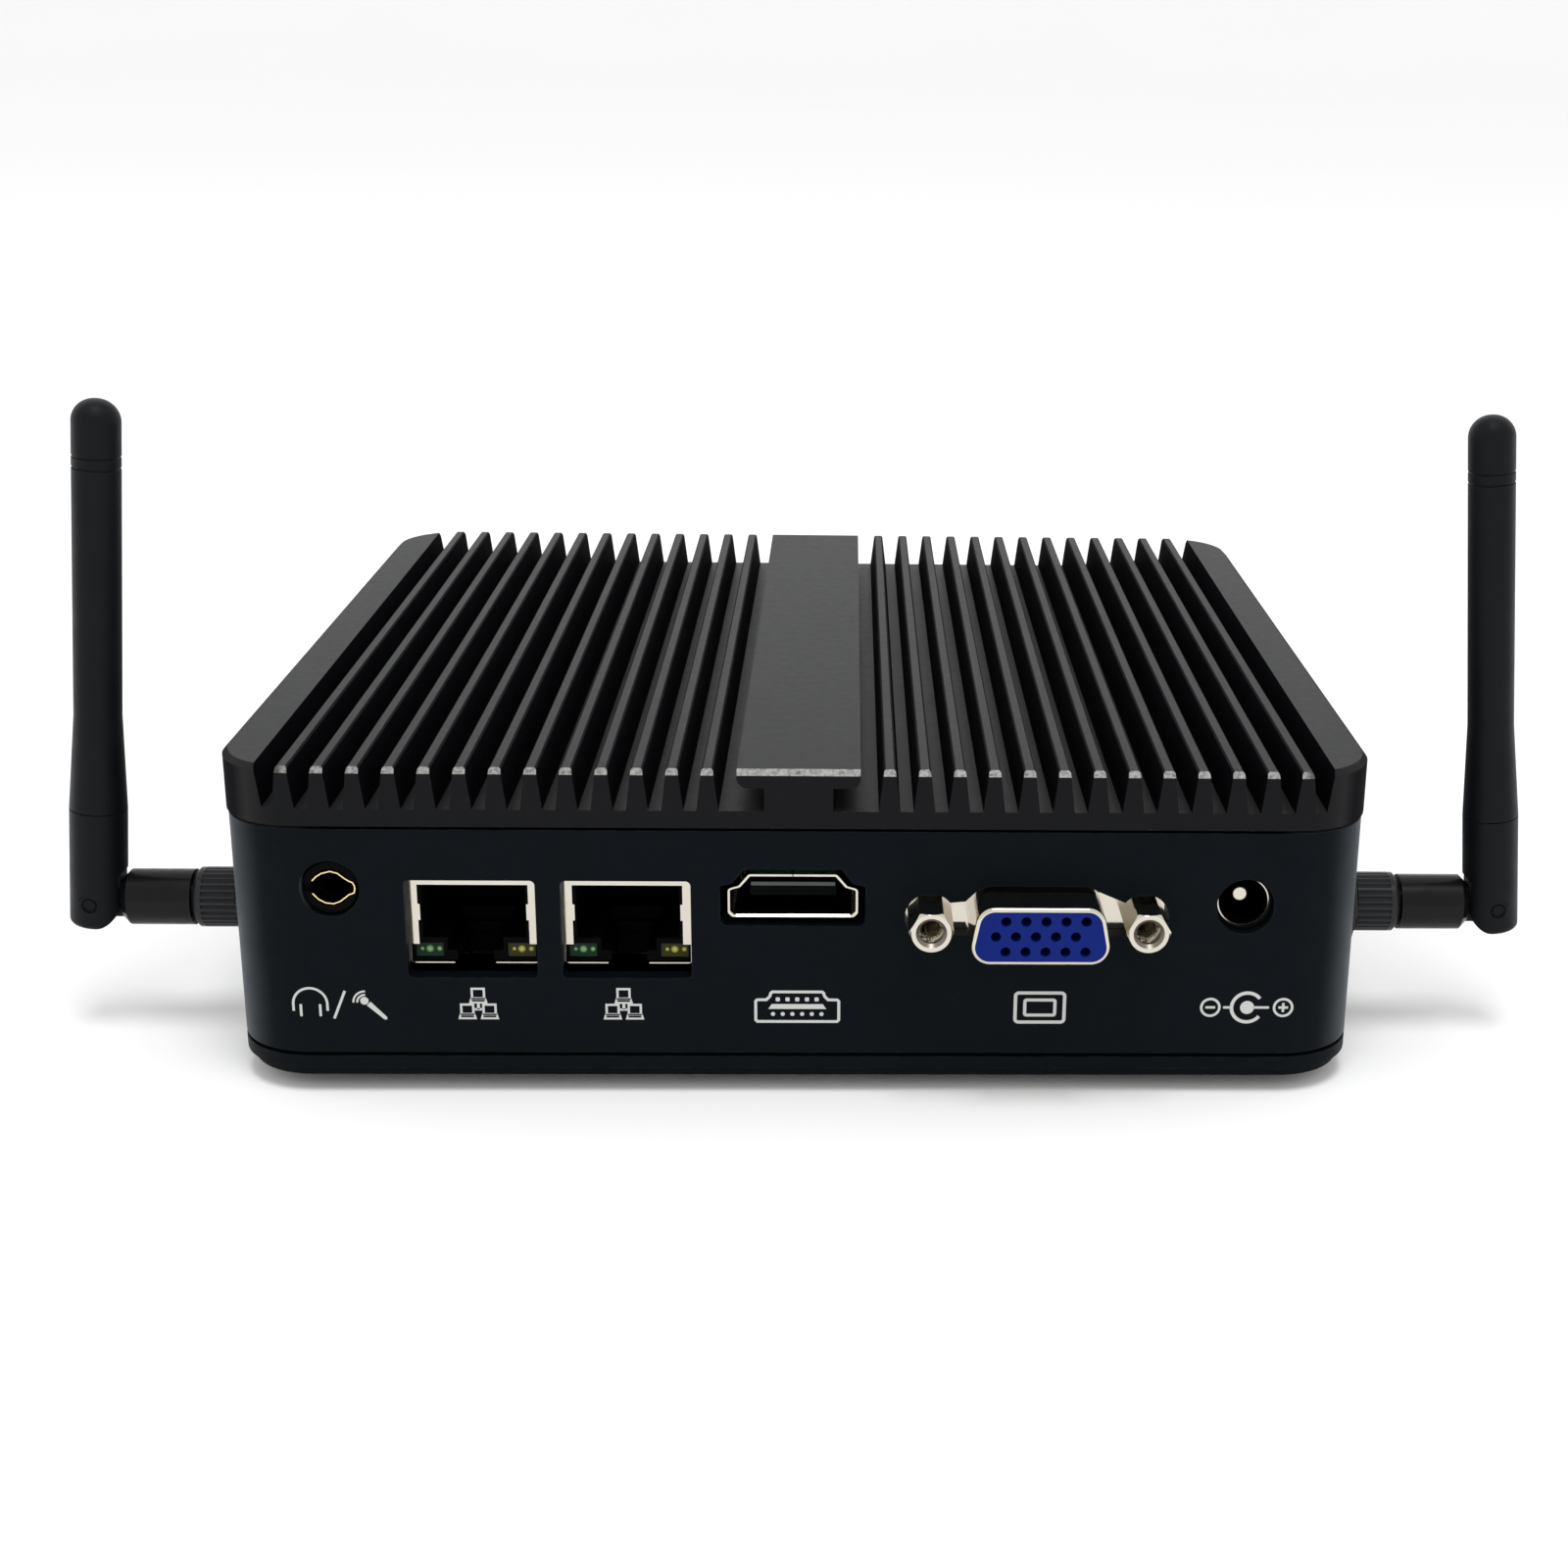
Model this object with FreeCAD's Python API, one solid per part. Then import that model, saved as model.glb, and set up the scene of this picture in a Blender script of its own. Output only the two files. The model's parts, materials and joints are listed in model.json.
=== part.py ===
import FreeCAD, Part
import os
from math import cos, hypot, pi, radians, sin, tan

# A fanless mini computer: a finned aluminium lid, a ring-shaped frame with the sockets,
# a bottom plate on four rubber feet, an inverted main board inside, and two folding
# antennas on the side walls.
#
# Frame: millimetres, +Z up, the socket face looks towards -Y.  The origin is on the table,
# in the middle of the whole object seen from above, sockets and power button included.

os.makedirs("parts", exist_ok=True)

# ---------------------------------------------------------------- driving dimensions

LID_WIDTH = 134.0
LID_DEPTH = 126.0
LID_CORNER = 9.5
LID_LEDGE = 0.2              # how far the lid overhangs the frame all round
LID_BOTTOM = 33.5
GROOVE_FLOOR = 35.6
FIN_TOP = 40.5
FIN_COUNT = 13               # on each side of the middle rail
FIN_PITCH = 4.0
FIRST_FIN_X = 10.4
FIN_ROOT = 2.5
FIN_TIP = 1.34
FIN_EDGE = 0.2               # bevel along the fins' upper edges
STRIP_ROOT_X = 60.95         # inner edge of the solid strip along each side
STRIP_TOP_X = 61.7
LID_CHAMFER = 0.65

RAIL_HALF = 7.05             # the T-shaped middle rail
RAIL_NECK_HALF = 3.95
RAIL_CAP_UNDERSIDE = 38.35
RAIL_CAP_ROUND = 1.2

WALL = 2.0
SEAM_DEPTH = 0.8             # shadow grooves above and below the frame
FRAME_TOP = 33.1
FRAME_BOTTOM = 5.3
PLATE_TOP = 4.8
PLATE_STEP = 3.2
PLATE_BOTTOM = 2.0
PLATE_FLOOR = 3.6
PLATE_STEP_INSET = 0.9
PLATE_RIM = 4.0

SOCKET_REACH = 6.0           # the display socket stands this far out of the frame
BUTTON_REACH = 1.2           # the power button stands this far out of the other side

FRAME_WIDTH = LID_WIDTH - 2 * LID_LEDGE
FRAME_DEPTH = LID_DEPTH - 2 * LID_LEDGE
FRAME_CORNER = LID_CORNER - LID_LEDGE
MID_Y = (SOCKET_REACH - BUTTON_REACH) / 2
FACE_Y = MID_Y - FRAME_DEPTH / 2
BACK_Y = MID_Y + FRAME_DEPTH / 2
PANEL_Y = FACE_Y + WALL      # inner face of the socket wall
BACK_WALL_Y = BACK_Y - WALL

CASE_SCREW_X = 63.0
CASE_SCREW_Y = 52.0          # from the middle of the case
CASE_SCREW_HOLE = 1.6
CASE_SCREW_SHANK = 1.45
CASE_SCREW_HEAD = 2.8
CASE_SCREW_TOP = 38.0
BOSS_RADIUS = 2.9

FOOT_RADIUS = 5.0
FOOT_X = 52.0
FOOT_Y = 46.0
BRACKET_SPACING = 75.0       # four M4 holes for a monitor bracket
BRACKET_HOLE = 1.65
BRACKET_PAD = 4.0

BOARD_BOTTOM = 28.2
BOARD_TOP = 29.8
BOARD_HALF_WIDTH = 59.0
BOARD_FRONT_Y = FACE_Y + 4.0
BOARD_BACK_Y = BACK_Y - 6.0
BOARD_HOLE_X = 54.0
BOARD_HOLE_FRONT_Y = -37.0
BOARD_HOLE_BACK_Y = 53.0
BOARD_HOLE = 1.6
STANDOFF_BORE = 1.45
BOARD_SCREW_SHANK = 1.4

AUDIO_X = -53.85
AUDIO_Z = 25.8
ROUND_HOLE = 3.4             # panel holes of the audio and power sockets
AUDIO_BORE = 1.8             # takes a 3.5 mm plug
AUDIO_LEAD_IN = 1.9
AUDIO_LEAD_IN_END = 2.2      # depth from the face at which the bore's full fit begins

LAN_X = (-37.9, -20.0)
LAN_HALF = 7.6
LAN_BOTTOM = 15.8
LAN_TOP = 27.9
LAN_DEPTH = 21.0
LAN_SHEET = 0.3
LAN_FLOOR = 0.14             # the shield's floor is thinner than its other walls
LAN_PLUG_HALF = 6.0
LAN_PLUG_TOP = 25.4
LAN_PLUG_BOTTOM = 18.83
LAN_STEP_Z = 17.25
LAN_STEP_HALF = 3.25
LAN_LATCH_HALF = 2.1
LAN_SIDE_BOTTOM = 18.2       # the shield's front edges end here, above the lamps

HDMI_X = -0.7
HDMI_BOTTOM = 22.3
HDMI_SHEET = 0.25
HDMI_LIP = 0.28              # the lower edge is thicker and bevelled towards the front
HDMI_FRONT_Y = FACE_Y + 0.6
HDMI_DEPTH = 11.0
HDMI_BEND = 0.5              # bending radius of the sheet
HDMI_SEAM = 0.12

VGA_X = 27.75
VGA_Z = 22.56
VGA_HALF_WIDTH = 8.4
VGA_HALF_HEIGHT = 3.51
VGA_LIP = 0.42               # the front edge of the shell is rolled to this radius
VGA_WALL = 0.46
VGA_CORNER = 2.2
VGA_GAP = 0.35               # between the shell and the hole in the wall
VGA_PIN_HOLE = 0.6
VGA_SLANT = tan(radians(10))
VGA_SCREW_SPACING = 24.99
VGA_SCREW_FLATS = 4.6
VGA_SCREW_BORE = 1.4
VGA_SCREW_REACH = 5.0
VGA_FLANGE_Y = PANEL_Y + 0.1
VGA_FLANGE_THICK = 1.0

POWER_X = 52.1
POWER_Z = 24.0
POWER_BORE = 3.1             # takes a 5.5 mm barrel plug

USB_X = (12.0, 34.0)
USB_HALF = 6.6
USB_BOTTOM = 12.6
USB_SHEET = 0.35
USB_DEPTH = 17.0
USB_SLOT_HEIGHT = 5.1
USB_SLOT_Z = (16.4, 24.4)    # middles of the two slots of a stack

BUTTON_X = -46.0
BUTTON_Z = 20.0
BUTTON_RADIUS = 5.0
BUTTON_HOLE = 5.2
BUTTON_FLANGE = 6.2
BUTTON_FLANGE_THICK = 1.0
BUTTON_STEM = 1.75
BUTTON_TRAVEL = 0.6
LAMP_X = (-33.0, -27.0)
LAMP_RADIUS = 1.5

ANTENNA_Y = FACE_Y + 19.0
ANTENNA_Z = 17.4
SIDE_X = FRAME_WIDTH / 2
HINGE_X = 86.8
THREAD_RADIUS = 3.1
THREAD_END_X = 72.4
RUN = 0.05                   # radial clearance of every turning fit
NUT_FLATS = 8.0
COUPLING_START_X = 69.1
COUPLING_END_X = 74.4
COUPLING_RADIUS = 3.7
COUPLING_RIBS = 28
NECK_RADIUS = 2.4
BARREL_START_X = 74.7
BARREL_END_X = 83.2
BARREL_RADIUS = 3.45
TONGUE_HALF = 1.2
TONGUE_RADIUS = 2.2
HINGE_PIN = 0.75
HINGE_PIN_HALF = 3.2
MAST_LEAN = 5.2              # degrees towards the case when folded up
MAST_OFFSET = 0.2            # the mast's middle line passes this far inward of the hinge
KNUCKLE_RADIUS = 3.4
KNUCKLE_DROP = 3.3           # how far the mast reaches below the hinge
KNUCKLE_SWEEP = 3.3          # the knuckle's inner corner stays inside this circle
KNUCKLE_SEAM = 11.6          # heights above the hinge, along the mast
TAPER_TOP = 23.5
WHIP_RADIUS = 2.8
CAP_GROOVES = (55.1, 53.8)
GROOVE_WIDTH = 0.35
GROOVE_DEPTH = 0.25
WHIP_TOP = 61.6
WHIP_BORE = 1.9
CABLE_RADIUS = 0.57

V = FreeCAD.Vector


# ---------------------------------------------------------------- helpers

def block(x0, x1, y0, y1, z0, z1):
    return Part.makeBox(x1 - x0, y1 - y0, z1 - z0, V(x0, y0, z0))


def rod(start, direction, radius, length):
    return Part.makeCylinder(radius, length, V(*start), V(*direction))


def rod_y(x, z, radius, y0, y1):
    return rod((x, y0, z), (0, 1, 0), radius, y1 - y0)


def rod_z(x, y, radius, z0, z1):
    return rod((x, y, z0), (0, 0, 1), radius, z1 - z0)


def edges_along(shape, direction):
    """The straight edges of a shape that run along a direction."""
    found = []
    for edge in shape.Edges:
        if isinstance(edge.Curve, Part.Line) and abs(edge.Curve.Direction.dot(V(*direction))) > 0.999:
            found.append(edge)
    return found


def slab(width, depth, corner, z0, z1):
    """A slab with round upright corners, centred on the case."""
    plain = block(-width / 2, width / 2, MID_Y - depth / 2, MID_Y + depth / 2, z0, z1)
    return plain.makeFillet(corner, edges_along(plain, (0, 0, 1)))


def prism_y(outline, y0, y1):
    """An outline of (x, z) points drawn out from y0 to y1."""
    points = [V(x, y0, z) for x, z in outline]
    face = Part.Face(Part.makePolygon(points + points[:1]))
    return face.extrude(V(0, y1 - y0, 0))


def round_block_y(x0, x1, z0, z1, radius, y0, y1):
    """A block whose long edges along Y are round."""
    plain = block(x0, x1, y0, y1, z0, z1)
    return plain.makeFillet(radius, edges_along(plain, (0, 1, 0)))


def hexagon_x(x0, x1, y, z, flats):
    """A hexagonal prism along X."""
    radius = flats / 2 / cos(pi / 6)
    points = [V(x0, y + radius * cos(k * pi / 3), z + radius * sin(k * pi / 3)) for k in range(6)]
    return Part.Face(Part.makePolygon(points + points[:1])).extrude(V(x1 - x0, 0, 0))


def hexagon_y(x, z, flats, y0, y1):
    """A hexagonal prism along Y, corners to the left and right."""
    radius = flats / 2 / cos(pi / 6)
    outline = [(x + radius * cos(k * pi / 3), z + radius * sin(k * pi / 3)) for k in range(6)]
    return prism_y(outline, y0, y1)


def fused(*shapes):
    return shapes[0].multiFuse(list(shapes[1:])).removeSplitter()


def case_corners():
    """The four case screws' places."""
    return [(sx * CASE_SCREW_X, MID_Y + sy * CASE_SCREW_Y) for sx in (-1, 1) for sy in (-1, 1)]


def board_holes():
    return [(sx * BOARD_HOLE_X, y) for sx in (-1, 1) for y in (BOARD_HOLE_FRONT_Y, BOARD_HOLE_BACK_Y)]


def save(name, *solids):
    shape = solids[0] if len(solids) == 1 else Part.makeCompound(list(solids))
    shape.exportStep(f"parts/{name}.step")
    print(f"{name:24s} solids {len(shape.Solids)} volume {shape.Volume:10.1f} valid {shape.isValid()}")


# ---------------------------------------------------------------- case

def heatsink_cover():
    """The lid: thirteen tapered fins each side of a T-shaped rail, one drawn section."""
    half = [(RAIL_NECK_HALF / 2, GROOVE_FLOOR)]
    for k in range(FIN_COUNT):
        x = FIRST_FIN_X + k * FIN_PITCH
        half.append((x - FIN_ROOT / 2, GROOVE_FLOOR))
        half.append((x - FIN_TIP / 2, FIN_TOP - FIN_EDGE))
        half.append((x - FIN_TIP / 2 + FIN_EDGE, FIN_TOP))
        half.append((x + FIN_TIP / 2 - FIN_EDGE, FIN_TOP))
        half.append((x + FIN_TIP / 2, FIN_TOP - FIN_EDGE))
        half.append((x + FIN_ROOT / 2, GROOVE_FLOOR))
    half.append((STRIP_ROOT_X, GROOVE_FLOOR))
    half.append((STRIP_TOP_X, FIN_TOP))
    half.append((LID_WIDTH / 2, FIN_TOP))
    half.append((LID_WIDTH / 2, LID_BOTTOM))
    outline = half + [(-x, z) for x, z in reversed(half)]
    front = MID_Y - LID_DEPTH / 2
    back = MID_Y + LID_DEPTH / 2
    comb = prism_y(outline, front, back)
    neck = block(-RAIL_NECK_HALF, RAIL_NECK_HALF, front, back, LID_BOTTOM, FIN_TOP)
    cap = block(-RAIL_HALF, RAIL_HALF, front, back, RAIL_CAP_UNDERSIDE, FIN_TOP)
    lower_edges = [e for e in edges_along(cap, (0, 1, 0)) if e.CenterOfMass.z < FIN_TOP - 1]
    cap = cap.makeFillet(RAIL_CAP_ROUND, lower_edges)
    envelope = slab(LID_WIDTH, LID_DEPTH, LID_CORNER, LID_BOTTOM, FIN_TOP)
    rim = [e for e in envelope.Edges if e.BoundBox.ZMin > FIN_TOP - 0.01]
    envelope = envelope.makeChamfer(LID_CHAMFER, rim)
    lid = fused(comb, neck, cap).common(envelope)
    for x, y in case_corners():
        lid = lid.cut(rod_z(x, y, CASE_SCREW_HOLE, LID_BOTTOM - 1, CASE_SCREW_TOP + 0.4))
    return lid.removeSplitter()


def hdmi_outline(margin=0.0):
    """The digital video socket's section, narrow side up; margin grows it all round."""
    wide = 7.55 + margin
    low = HDMI_BOTTOM - margin
    shoulder = HDMI_BOTTOM + 3.5 + margin * 0.6
    high = HDMI_BOTTOM + 5.3 + margin
    narrow = 5.1 + margin * 0.6
    slant = 6.3 + margin * 0.8
    right = [(wide - 0.5, low), (wide, low + 0.5), (wide, shoulder), (slant, shoulder + 0.35), (narrow, high)]
    return [(HDMI_X + x, z) for x, z in right] + [(HDMI_X - x, z) for x, z in reversed(right)]


def d_prism(grow, y0, y1, corner=VGA_CORNER):
    """The display socket's D shape, wide side down."""
    slant = VGA_SLANT * VGA_HALF_HEIGHT * 2
    bottom = VGA_HALF_WIDTH + grow
    top = VGA_HALF_WIDTH - slant + grow
    high = VGA_HALF_HEIGHT + grow
    outline = [(VGA_X - bottom, VGA_Z - high), (VGA_X + bottom, VGA_Z - high),
               (VGA_X + top, VGA_Z + high), (VGA_X - top, VGA_Z + high)]
    plain = prism_y(outline, y0, y1)
    return plain.makeFillet(corner + grow, edges_along(plain, (0, 1, 0)))


def vga_screw_x():
    return (VGA_X - VGA_SCREW_SPACING / 2, VGA_X + VGA_SCREW_SPACING / 2)


def socket_openings():
    """Everything cut through the wall on the socket side."""
    y0 = FACE_Y - 1
    y1 = PANEL_Y + 1
    cuts = [rod_y(AUDIO_X, AUDIO_Z, ROUND_HOLE, y0, y1), rod_y(POWER_X, POWER_Z, ROUND_HOLE, y0, y1)]
    for x in LAN_X:
        cuts.append(round_block_y(x - LAN_HALF + 0.1, x + LAN_HALF - 0.1, LAN_BOTTOM - 1.0,
                                  LAN_TOP - 1.0, 0.6, y0, y1))
    cuts.append(prism_y(hdmi_outline(0.85), y0, y1))
    left, right = vga_screw_x()
    lobe = VGA_SCREW_FLATS / 2 + 0.65
    ears = [(left, VGA_Z - 2.2), (right, VGA_Z - 2.2), (right, VGA_Z + 1.4), (right - 1.8, VGA_Z + 1.7),
            (VGA_X + 7.2, VGA_Z + 3.2), (VGA_X - 7.2, VGA_Z + 3.2), (VGA_X - 8.4, VGA_Z + 2.0), (left, VGA_Z + 1.6)]
    display = [d_prism(VGA_GAP, y0, y1), prism_y(ears, y0, y1)]
    for x in (left, right):
        display.append(rod_y(x, VGA_Z, lobe, y0, y1))
    cuts.append(fused(*display))
    return cuts


def back_openings():
    """Everything cut through the opposite wall."""
    y0 = BACK_WALL_Y - 1
    y1 = BACK_Y + 1
    cuts = [rod_y(BUTTON_X, BUTTON_Z, BUTTON_HOLE, y0, y1)]
    for x in LAMP_X:
        cuts.append(rod_y(x, BUTTON_Z, LAMP_RADIUS + RUN, y0, y1))
    for x in USB_X:
        cuts.append(round_block_y(x - USB_HALF - 0.4, x + USB_HALF + 0.4, USB_BOTTOM - 0.4,
                                  BOARD_BOTTOM + 0.4, 0.5, y0, y1))
    return cuts


def main_frame():
    """The ring between lid and bottom plate, with four screw bosses and every opening."""
    inner = slab(FRAME_WIDTH - 2 * WALL, FRAME_DEPTH - 2 * WALL, FRAME_CORNER - WALL,
                 PLATE_TOP - 1, LID_BOTTOM + 1)
    outside = slab(FRAME_WIDTH, FRAME_DEPTH, FRAME_CORNER, FRAME_BOTTOM, FRAME_TOP)
    lip = slab(FRAME_WIDTH - 2 * SEAM_DEPTH, FRAME_DEPTH - 2 * SEAM_DEPTH,
               FRAME_CORNER - SEAM_DEPTH, PLATE_TOP, LID_BOTTOM)
    ring = fused(outside, lip).cut(inner)
    bosses = [rod_z(x, y, BOSS_RADIUS, PLATE_TOP, LID_BOTTOM) for x, y in case_corners()]
    ring = fused(ring, *bosses)
    holes = [rod_z(x, y, CASE_SCREW_HOLE, PLATE_TOP - 1, LID_BOTTOM + 1) for x, y in case_corners()]
    for side in (-1, 1):
        inside = (side * (SIDE_X - WALL - 1), ANTENNA_Y, ANTENNA_Z)
        holes.append(rod(inside, (side, 0, 0), THREAD_RADIUS + 0.1, WALL + 2))
    for cutter in holes + socket_openings() + back_openings():
        ring = ring.cut(cutter)
    return ring.removeSplitter()


def bottom_cover():
    """The bottom plate: stepped edge, hollow inside a rim, pads for the bracket holes."""
    upper = slab(FRAME_WIDTH, FRAME_DEPTH, FRAME_CORNER, PLATE_STEP, PLATE_TOP)
    lower = slab(FRAME_WIDTH - 2 * PLATE_STEP_INSET, FRAME_DEPTH - 2 * PLATE_STEP_INSET,
                 FRAME_CORNER - PLATE_STEP_INSET, PLATE_BOTTOM, PLATE_STEP)
    pocket = slab(FRAME_WIDTH - 2 * PLATE_RIM, FRAME_DEPTH - 2 * PLATE_RIM,
                  FRAME_CORNER - PLATE_RIM, PLATE_FLOOR, PLATE_TOP + 1)
    plate = fused(upper, lower).cut(pocket)
    half = BRACKET_SPACING / 2
    places = [(sx * half, MID_Y + sy * half) for sx in (-1, 1) for sy in (-1, 1)]
    pads = [rod_z(x, y, BRACKET_PAD, PLATE_BOTTOM, PLATE_TOP) for x, y in places]
    pads += [rod_z(x, y, BOSS_RADIUS + 1, PLATE_BOTTOM, PLATE_TOP) for x, y in case_corners()]
    outline = slab(FRAME_WIDTH - 2 * PLATE_STEP_INSET, FRAME_DEPTH - 2 * PLATE_STEP_INSET,
                   FRAME_CORNER - PLATE_STEP_INSET, PLATE_BOTTOM, PLATE_TOP)
    plate = fused(plate, *[pad.common(outline) for pad in pads])
    for x, y in places:
        plate = plate.cut(rod_z(x, y, BRACKET_HOLE, PLATE_BOTTOM - 1, PLATE_TOP + 1))
    for x, y in case_corners():
        plate = plate.cut(rod_z(x, y, CASE_SCREW_HOLE, PLATE_BOTTOM - 1, PLATE_TOP + 1))
        sink = CASE_SCREW_HEAD - CASE_SCREW_SHANK
        cone = Part.makeCone(CASE_SCREW_HEAD + 0.15, CASE_SCREW_SHANK + 0.15, sink, V(x, y, PLATE_BOTTOM))
        plate = plate.cut(cone)
    return plate.removeSplitter()


def rubber_feet():
    feet = []
    for sx in (-1, 1):
        for sy in (-1, 1):
            foot = rod_z(sx * FOOT_X, MID_Y + sy * FOOT_Y, FOOT_RADIUS, 0, PLATE_BOTTOM)
            lower = [e for e in foot.Edges if e.BoundBox.ZMax < 0.01]
            feet.append(foot.makeFillet(0.5, lower))
    return feet


def case_screws():
    """Long countersunk screws from the bottom plate, through the frame, into the lid."""
    screws = []
    for x, y in case_corners():
        sink = CASE_SCREW_HEAD - CASE_SCREW_SHANK
        head = Part.makeCone(CASE_SCREW_HEAD, CASE_SCREW_SHANK, sink, V(x, y, PLATE_BOTTOM + 0.1))
        shank = rod_z(x, y, CASE_SCREW_SHANK, PLATE_BOTTOM + 0.1, CASE_SCREW_TOP)
        recess = fused(block(x - 1.3, x + 1.3, y - 0.3, y + 0.3, PLATE_BOTTOM, PLATE_BOTTOM + 1.1),
                       block(x - 0.3, x + 0.3, y - 1.3, y + 1.3, PLATE_BOTTOM, PLATE_BOTTOM + 1.1))
        screws.append(fused(head, shank).cut(recess))
    return screws


# ---------------------------------------------------------------- main board

CPU_Y = 12.0
CPU_DIE_TOP = 31.4
MODULE_Z = 25.0
CARD_Z = 24.4
CARD_THICK = 1.0
CARD_Y0 = -31.0
CARD_WIDTH = 30.0
STORAGE_X0 = -52.5
STORAGE_LENGTH = 50.95
WIFI_X1 = 53.5
WIFI_LENGTH = 26.8
CABLE_PLUG_X = 33.0
CABLE_PLUG_Y = (-26.0, -18.0)
CABLE_PLUG_TOP = 22.9


def motherboard():
    board = block(-BOARD_HALF_WIDTH, BOARD_HALF_WIDTH, BOARD_FRONT_Y, BOARD_BACK_Y, BOARD_BOTTOM, BOARD_TOP)
    for x, y in board_holes():
        board = board.cut(rod_z(x, y, BOARD_HOLE, BOARD_BOTTOM - 1, BOARD_TOP + 1))
    return board


def board_standoffs():
    """Hexagonal brass spacers between the lid and the board."""
    spacers = []
    for x, y in board_holes():
        radius = 5.0 / 2 / cos(pi / 6)
        points = [V(x + radius * cos(k * pi / 3), y + radius * sin(k * pi / 3), BOARD_TOP) for k in range(6)]
        body = Part.Face(Part.makePolygon(points + points[:1])).extrude(V(0, 0, LID_BOTTOM - BOARD_TOP))
        spacers.append(body.cut(rod_z(x, y, STANDOFF_BORE, BOARD_TOP - 1, LID_BOTTOM - 0.2)))
    return spacers


def board_screws():
    screws = []
    for x, y in board_holes():
        head = rod_z(x, y, 2.6, BOARD_BOTTOM - 1.8, BOARD_BOTTOM)
        shank = rod_z(x, y, BOARD_SCREW_SHANK, BOARD_BOTTOM - 0.5, LID_BOTTOM - 0.6)
        slot = block(x - 1.6, x + 1.6, y - 0.35, y + 0.35, BOARD_BOTTOM - 2, BOARD_BOTTOM - 0.9)
        screws.append(fused(head, shank).cut(slot))
    return screws


def cpu_package():
    base = block(-12.5, 12.5, CPU_Y - 13.5, CPU_Y + 13.5, BOARD_TOP, BOARD_TOP + 1.0)
    die = block(-5.5, 5.5, CPU_Y - 7.5, CPU_Y + 7.5, BOARD_TOP + 0.9, CPU_DIE_TOP)
    return fused(base, die)


def thermal_block():
    """Aluminium spacer that carries the processor's heat into the lid."""
    return block(-20, 20, CPU_Y - 20, CPU_Y + 20, CPU_DIE_TOP, LID_BOTTOM)


def memory_socket():
    body = block(-36, 36, 4, 11, MODULE_Z - 1.4, BOARD_BOTTOM)
    slot = block(-34, 34, 8, 12, MODULE_Z - 0.1, MODULE_Z + 1.1)
    arms = [block(sx * 35 - 1, sx * 35 + 1, 10, 30, MODULE_Z - 0.6, BOARD_BOTTOM) for sx in (-1, 1)]
    return fused(body.cut(slot), *arms)


def memory_module():
    card = block(-33.8, 33.8, 8.2, 38, MODULE_Z, MODULE_Z + 1.0)
    chips = [block(x, x + 12, 18, 30, MODULE_Z - 1.0, MODULE_Z + 0.1) for x in (-31, -15, 3, 19)]
    return fused(card, *chips)


def card_sockets():
    """The two edge sockets of the plug-in cards, openings facing each other."""
    sockets = []
    for x, side in ((STORAGE_X0 - 4.0, 1), (WIFI_X1 + 4.0, -1)):
        x0 = min(x, x + side * 6)
        body = block(x0, x0 + 6, CARD_Y0, CARD_Y0 + CARD_WIDTH, CARD_Z - 1.2, BOARD_BOTTOM)
        mouth = x + side * 4
        slot = block(min(mouth, mouth + side * 3) - 0.1, max(mouth, mouth + side * 3) + 0.1,
                     CARD_Y0 + 0.9, CARD_Y0 + CARD_WIDTH - 0.9, CARD_Z - 0.05, CARD_Z + CARD_THICK + 0.05)
        sockets.append(body.cut(slot))
    return sockets


def plug_in_card(x0, x1, chip_boxes, tongue_side):
    """A card with chips below it; its ends hold a notch for the fixing screw."""
    card = block(x0, x1, CARD_Y0 + 1, CARD_Y0 + CARD_WIDTH - 1, CARD_Z, CARD_Z + CARD_THICK)
    chips = [block(cx0, cx1, cy0, cy1, CARD_Z - 1.2, CARD_Z + 0.1) for cx0, cx1, cy0, cy1 in chip_boxes]
    end = x1 if tongue_side < 0 else x0
    notch = rod_z(end, CARD_Y0 + CARD_WIDTH / 2, 1.7, CARD_Z - 1, CARD_Z + 2)
    return fused(card, *chips).cut(notch)


def storage_card():
    chips = [(-46, -32, -28, -18), (-46, -32, -14, -4), (-28, -14, -28, -18), (-28, -14, -14, -4)]
    return plug_in_card(STORAGE_X0, STORAGE_X0 + STORAGE_LENGTH, chips, -1)


def wifi_card():
    """The radio card: a shielded can, and two small coaxial sockets for the antenna leads."""
    card = plug_in_card(WIFI_X1 - WIFI_LENGTH, WIFI_X1, [(37, 50, -26, -8)], 1)
    jacks = [rod_z(CABLE_PLUG_X, y, 1.0, CABLE_PLUG_TOP + 0.4, CARD_Z + 0.1) for y in CABLE_PLUG_Y]
    return fused(card, *jacks)


def card_screws():
    """Each card's free end is held up against a pillar by one screw."""
    screws = []
    for x in (STORAGE_X0 + STORAGE_LENGTH, WIFI_X1 - WIFI_LENGTH):
        y = CARD_Y0 + CARD_WIDTH / 2
        head = rod_z(x, y, 2.4, CARD_Z - 1.2, CARD_Z)
        shank = rod_z(x, y, 1.3, CARD_Z - 0.5, CARD_Z + CARD_THICK + 0.5)
        pillar = rod_z(x, y, 2.2, CARD_Z + CARD_THICK, BOARD_BOTTOM)
        screws.append(fused(head, shank, pillar))
    return screws


def backup_battery():
    cell = rod_z(12.6, -16, 10.0, BOARD_BOTTOM - 3.2, BOARD_BOTTOM)
    lower = [e for e in cell.Edges if e.BoundBox.ZMax < BOARD_BOTTOM - 3.1]
    return cell.makeFillet(0.4, lower)


def power_inductors():
    parts = []
    for k in range(4):
        y = -8 + k * 9.5
        coil = block(34, 41, y, y + 7, BOARD_TOP, BOARD_TOP + 3.0)
        parts.append(coil.makeChamfer(0.5, edges_along(coil, (0, 0, 1))))
    return parts


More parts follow.
